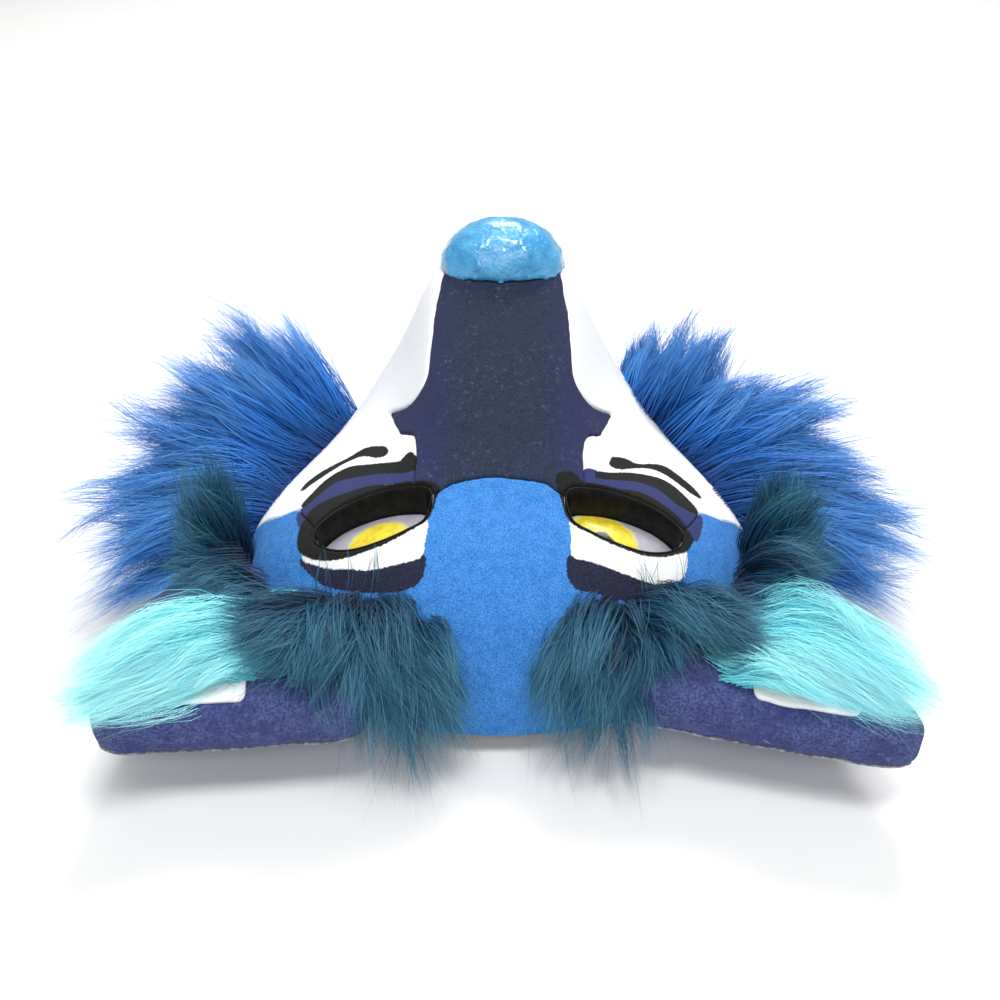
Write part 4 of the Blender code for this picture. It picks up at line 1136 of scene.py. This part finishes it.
# Title, slot, and the colours of the darkest and the lightest strands by their place from root to tip. Each
# darkens towards the root: painted shade deep in the pile.
FUR_LOOKS = {
    "cheek_fur": ("royal fur", "royal_fur",
        ((0.0, (0.002, 0.018, 0.11)), (0.35, (0.004, 0.058, 0.28)), (1.0, (0.012, 0.14, 0.50))),
        ((0.0, (0.004, 0.040, 0.20)), (0.40, (0.020, 0.195, 0.65)), (1.0, (0.15, 0.46, 0.90)))),
    "ear_base_fur": ("teal fur", "teal_fur",
        ((0.0, (0.001, 0.006, 0.015)), (0.40, (0.002, 0.021, 0.048)), (1.0, (0.005, 0.052, 0.115))),
        ((0.0, (0.002, 0.017, 0.038)), (0.45, (0.009, 0.080, 0.155)), (1.0, (0.085, 0.30, 0.42)))),
    "ear_fur": ("cyan fur", "cyan_fur",
        ((0.0, (0.08, 0.56, 0.66)), (0.40, (0.14, 0.74, 0.84)), (1.0, (0.28, 0.86, 0.94))),
        ((0.0, (0.20, 0.80, 0.88)), (0.45, (0.40, 0.96, 0.98)), (1.0, (0.64, 0.99, 1.0)))),
}


def along_run(table, order, s):
    """Lock values at fractional places along a run of the table's rows."""
    rows = table[list(order)]
    i = np.clip(s.astype(int), 0, len(order) - 2)
    f = (s - i)[:, None]
    return rows[i] * (1 - f) + rows[i + 1] * f


def clump_table(fur, random):
    """Lock values for every clump: places between the part's own locks, each a little different. With them
    comes the chance of a strand in each."""
    table = np.array(fur.locks, float)
    found = []
    odds = []
    for run in fur.runs:
        count = max(LEAST_CLUMPS, round(fur.clumps * run.share))
        odds.append(np.full(count, run.share / count))
        s = (np.arange(count) + random.uniform(0.1, 0.9, count)) / count * (len(run.outer) - 1)
        layer = random.uniform(0, 1, count)[:, None]
        found.append(along_run(table, run.outer, s) * (1 - layer) + along_run(table, run.inner, s) * layer)
    values = np.concatenate(found)
    count = len(values)
    to_tip = values[:, 3:6] - values[:, 0:3]
    size = np.linalg.norm(to_tip, axis=1, keepdims=True)
    values[:, 3:6] = values[:, 0:3] + to_tip * random.uniform(*CLUMP_LENGTHS, (count, 1))
    values[:, 0:3] += random.normal(0, ROOT_DRIFT, (count, 3))
    values[:, 3:6] += random.normal(0, TIP_DRIFT, (count, 3)) * size
    values[:, 6:8] *= random.uniform(*CLUMP_WIDTHS, (count, 1))
    odds = np.concatenate(odds)
    return values, odds / odds.sum()


def strands_of(fur, side, seed):
    """Centre lines, side vectors and tones of one fur's strands, in centimetres."""
    random = np.random.default_rng(seed)
    clumps, odds = clump_table(fur, random)
    count = fur.strands
    pick = random.choice(len(clumps), count, p=odds)
    own = clumps[pick]
    root, tip = own[:, 0:3].copy(), own[:, 3:6].copy()
    start = random.uniform(*fur.start, (count, 1)) if fur.start[0] else np.zeros((count, 1))
    root += start * (tip - root) * [1, 1, 0]
    run = tip - root
    length = np.linalg.norm(run, axis=1, keepdims=True)
    flat = unit(np.cross(unit(run), LOCK_FLAT))
    deep = np.cross(flat, unit(run))
    angle = random.uniform(0, 2 * math.pi, count)
    radius = np.sqrt(random.uniform(0, 1, count))
    a = (radius * np.cos(angle))[:, None]
    b = (radius * np.sin(angle))[:, None]
    reach = random.uniform(*REACHES, (count, 1)) ** 0.7
    stray = (random.uniform(0, 1, (count, 1)) < fur.strays).astype(float)
    reach = np.where(stray > 0, random.uniform(*STRAY_REACHES, (count, 1)), reach)
    wander = random.normal(0, 1, (count, 3)) * length * (WANDER + fur.stray_bend * stray)
    bend = random.normal(0, BEND, (len(clumps), 2))[pick]
    phase = random.uniform(0, 2 * math.pi, (count, 1))
    turns = random.uniform(*WAVE_TURNS, (count, 1))
    lines = []
    for t in np.linspace(0, 1, STRAND_STEPS + 1):
        along = t * reach
        centre = root + along * run
        centre[:, 2:3] += 4 * own[:, 8:9] * along * (1 - along)
        spread = np.interp(along[:, 0], *LOCK_PROFILE)[:, None]
        spread = spread * (1 - fur.pull * (t**1.5) * (1 - stray))
        bow = 4 * along * (1 - along) * length
        place = (
            centre
            + spread * (a * own[:, 6:7] / 2 * flat + b * own[:, 7:8] / 2 * deep)
            + bow * (bend[:, 0:1] * flat + bend[:, 1:2] * deep)
            + wander * t**2
            + WAVE * length * t * np.sin(turns * t * 2 * math.pi + phase) * flat
        )
        if fur.bed is not None:
            place[:, 2] = fur.bed + (place[:, 2] - fur.bed) * min(1, 2.2 * t)
        lines.append(place)
    lines = np.stack(lines, 1)
    outward = unit(0.7 * (a * flat + b * deep) + np.array([0, -0.12, 0.75]))
    tangent = unit(np.gradient(lines, axis=1))
    across = unit(np.cross(tangent, outward[:, None]))
    other = np.cross(tangent, across)
    tilt = random.normal(0, RIBBON_TILT, (count, 1, 1))
    across = across * np.cos(tilt) + other * np.sin(tilt)
    tone = 0.5 + TONE_DRIFT * random.normal(0, 1, len(clumps))[pick] + TONE_DRIFT * random.normal(0, 1, count)
    # Strands high in their lock are lighter: painted light.
    tone = np.clip(tone + LIT_TOP_TONE * (b[:, 0] > 0.4), 0.02, 0.98)
    if side == "left":
        lines = mirrored(lines)
        across = mirrored(across)
    anchor = lines[:, :1]
    past = lines - anchor
    over = np.maximum(past / (np.array(REACH_HIGH) - anchor), past / (REACH_LOW - anchor))
    lines = anchor + past / np.maximum(over.max(axis=(1, 2), keepdims=True), 1)
    return lines, across, tone


def ribbons(name, lines, across, tone, width):
    """One mesh of tapering ribbons. Its map has the tone across and the place along the strand upward."""
    count, steps = lines.shape[:2]
    t = np.linspace(0, 1, steps)
    half = width / 2 * np.interp(t, *RIBBON_PROFILE)[None, :, None]
    left = (lines - across * half)[:, :-1]
    right = (lines + across * half)[:, :-1]
    points = np.concatenate([np.stack([left, right], 2).reshape(count, -1, 3), lines[:, -1:]], 1)
    per = points.shape[1]
    pattern = []
    for k in range(steps - 2):
        pattern += [(2 * k, 2 * k + 1, 2 * k + 3), (2 * k, 2 * k + 3, 2 * k + 2)]
    pattern.append((per - 3, per - 2, per - 1))
    triangles = (np.arange(count)[:, None, None] * per + np.array(pattern)).reshape(-1, 3)
    along = np.concatenate([np.repeat(t[:-1], 2), t[-1:]])
    sideways = np.concatenate([np.tile([-0.003, 0.003], steps - 1), [0.0]])
    vertex_tone = np.clip(tone[:, None] + sideways, 0, 1)
    uv = np.stack([vertex_tone, np.broadcast_to(0.01 + 0.98 * along, vertex_tone.shape)], -1).reshape(-1, 2)
    attributes = {"tone": vertex_tone.reshape(-1), "along": np.tile(along, count)}
    return build(name, points.reshape(-1, 3), triangles, uv[triangles], attributes)


def own_locks(key, side):
    """One side's locks of a fur, each as long as that side's spread makes it."""
    table = []
    for number, lock in enumerate(FURS[key].locks):
        lock = OWN_LOCKS.get((key, side), {}).get(number, lock)
        table.append(lock._replace(
            tip_x=lock.x + (lock.tip_x - lock.x) * SPREAD[side],
            tip_y=lock.y + (lock.tip_y - lock.y) * SPREAD[side],
            tip_z=lock.z + (lock.tip_z - lock.z) * SPREAD[side],
        ))
    return table


seed = 11
for key, fur in FURS.items():
    title, slot, dark, light = FUR_LOOKS[key]
    material = fur_material(title, dark, light)
    for side in SIDES:
        seed += 1
        lines, across, tone = strands_of(fur._replace(locks=own_locks(key, side)), side, seed)
        piece = ribbons(f"{title.replace(' ', '_')}_{side}", lines, across, tone, fur.width)
        dress(piece, material, slot, f"{key}_{side}")

# Floor, light and camera.
FLOOR_HALF = 300
FLOOR_Z = -0.02
corners = [(x * FLOOR_HALF, y * FLOOR_HALF, FLOOR_Z) for x, y in ((-1, -1), (1, -1), (1, 1), (-1, 1))]
floor = build("floor", corners, [(0, 1, 2), (0, 2, 3)])
floor_look = Look("table", roughness=0.6, Specular_IOR_Level=0.2)
floor_colour = floor_look.mix(floor_look.noise(6.0, 3.0), (0.84, 0.84, 0.83), (0.88, 0.88, 0.87))
floor.data.materials.append(floor_look.finish(floor_colour))

# Places and sizes of the lights, in metres.
AreaLight = namedtuple("AreaLight", "name at aim size watts colour", defaults=[(1, 1, 1)])
LIGHTS = (
    AreaLight("key from behind", (0.15, 0.75, 1.05), (0, 0, 0), (0.5, 0.4), 10),
    AreaLight("left window", (-0.16, -0.26, 1.00), (0, 0, 0.05), (0.12, 0.30), 3.3, (0.97, 0.98, 1.0)),
    AreaLight("right window", (0.14, -0.22, 1.05), (0, 0, 0.05), (0.12, 0.26), 3.3),
    AreaLight("back wash", (0, 1.5, 1.3), (0, 1.3, 0), (1.2, 0.6), 7),
    AreaLight("front fill", (0.1, -0.9, 0.8), (0, 0, 0.03), (0.9, 0.5), 4.4),
)
SKY = 0.34
CAMERA_AT = (0.00575, -0.28188, 0.2515)
CAMERA_AIM = (0.00215, 0.0130, 0.045)

scene = bpy.context.scene


def facing(obj, at, aim):
    obj.location = at
    obj.rotation_euler = (Vector(aim) - Vector(at)).to_track_quat("-Z", "Y").to_euler()
    scene.collection.objects.link(obj)


for entry in LIGHTS:
    light = bpy.data.lights.new(entry.name, "AREA")
    light.shape = "RECTANGLE"
    light.size, light.size_y = entry.size
    light.energy = entry.watts
    light.color = entry.colour
    facing(bpy.data.objects.new(entry.name, light), entry.at, entry.aim)

world = bpy.data.worlds.new("studio")
world.use_nodes = True
background = world.node_tree.nodes["Background"].inputs
background["Color"].default_value = (1, 1, 1, 1)
background["Strength"].default_value = SKY
scene.world = world
scene.view_settings.view_transform = "Standard"

camera_data = bpy.data.cameras.new("camera")
camera_data.lens = 39.6
camera_data.sensor_width = 36
camera_data.shift_y = -0.025
camera_data.clip_start = 0.01
camera = bpy.data.objects.new("camera", camera_data)
facing(camera, CAMERA_AT, CAMERA_AIM)
scene.camera = camera
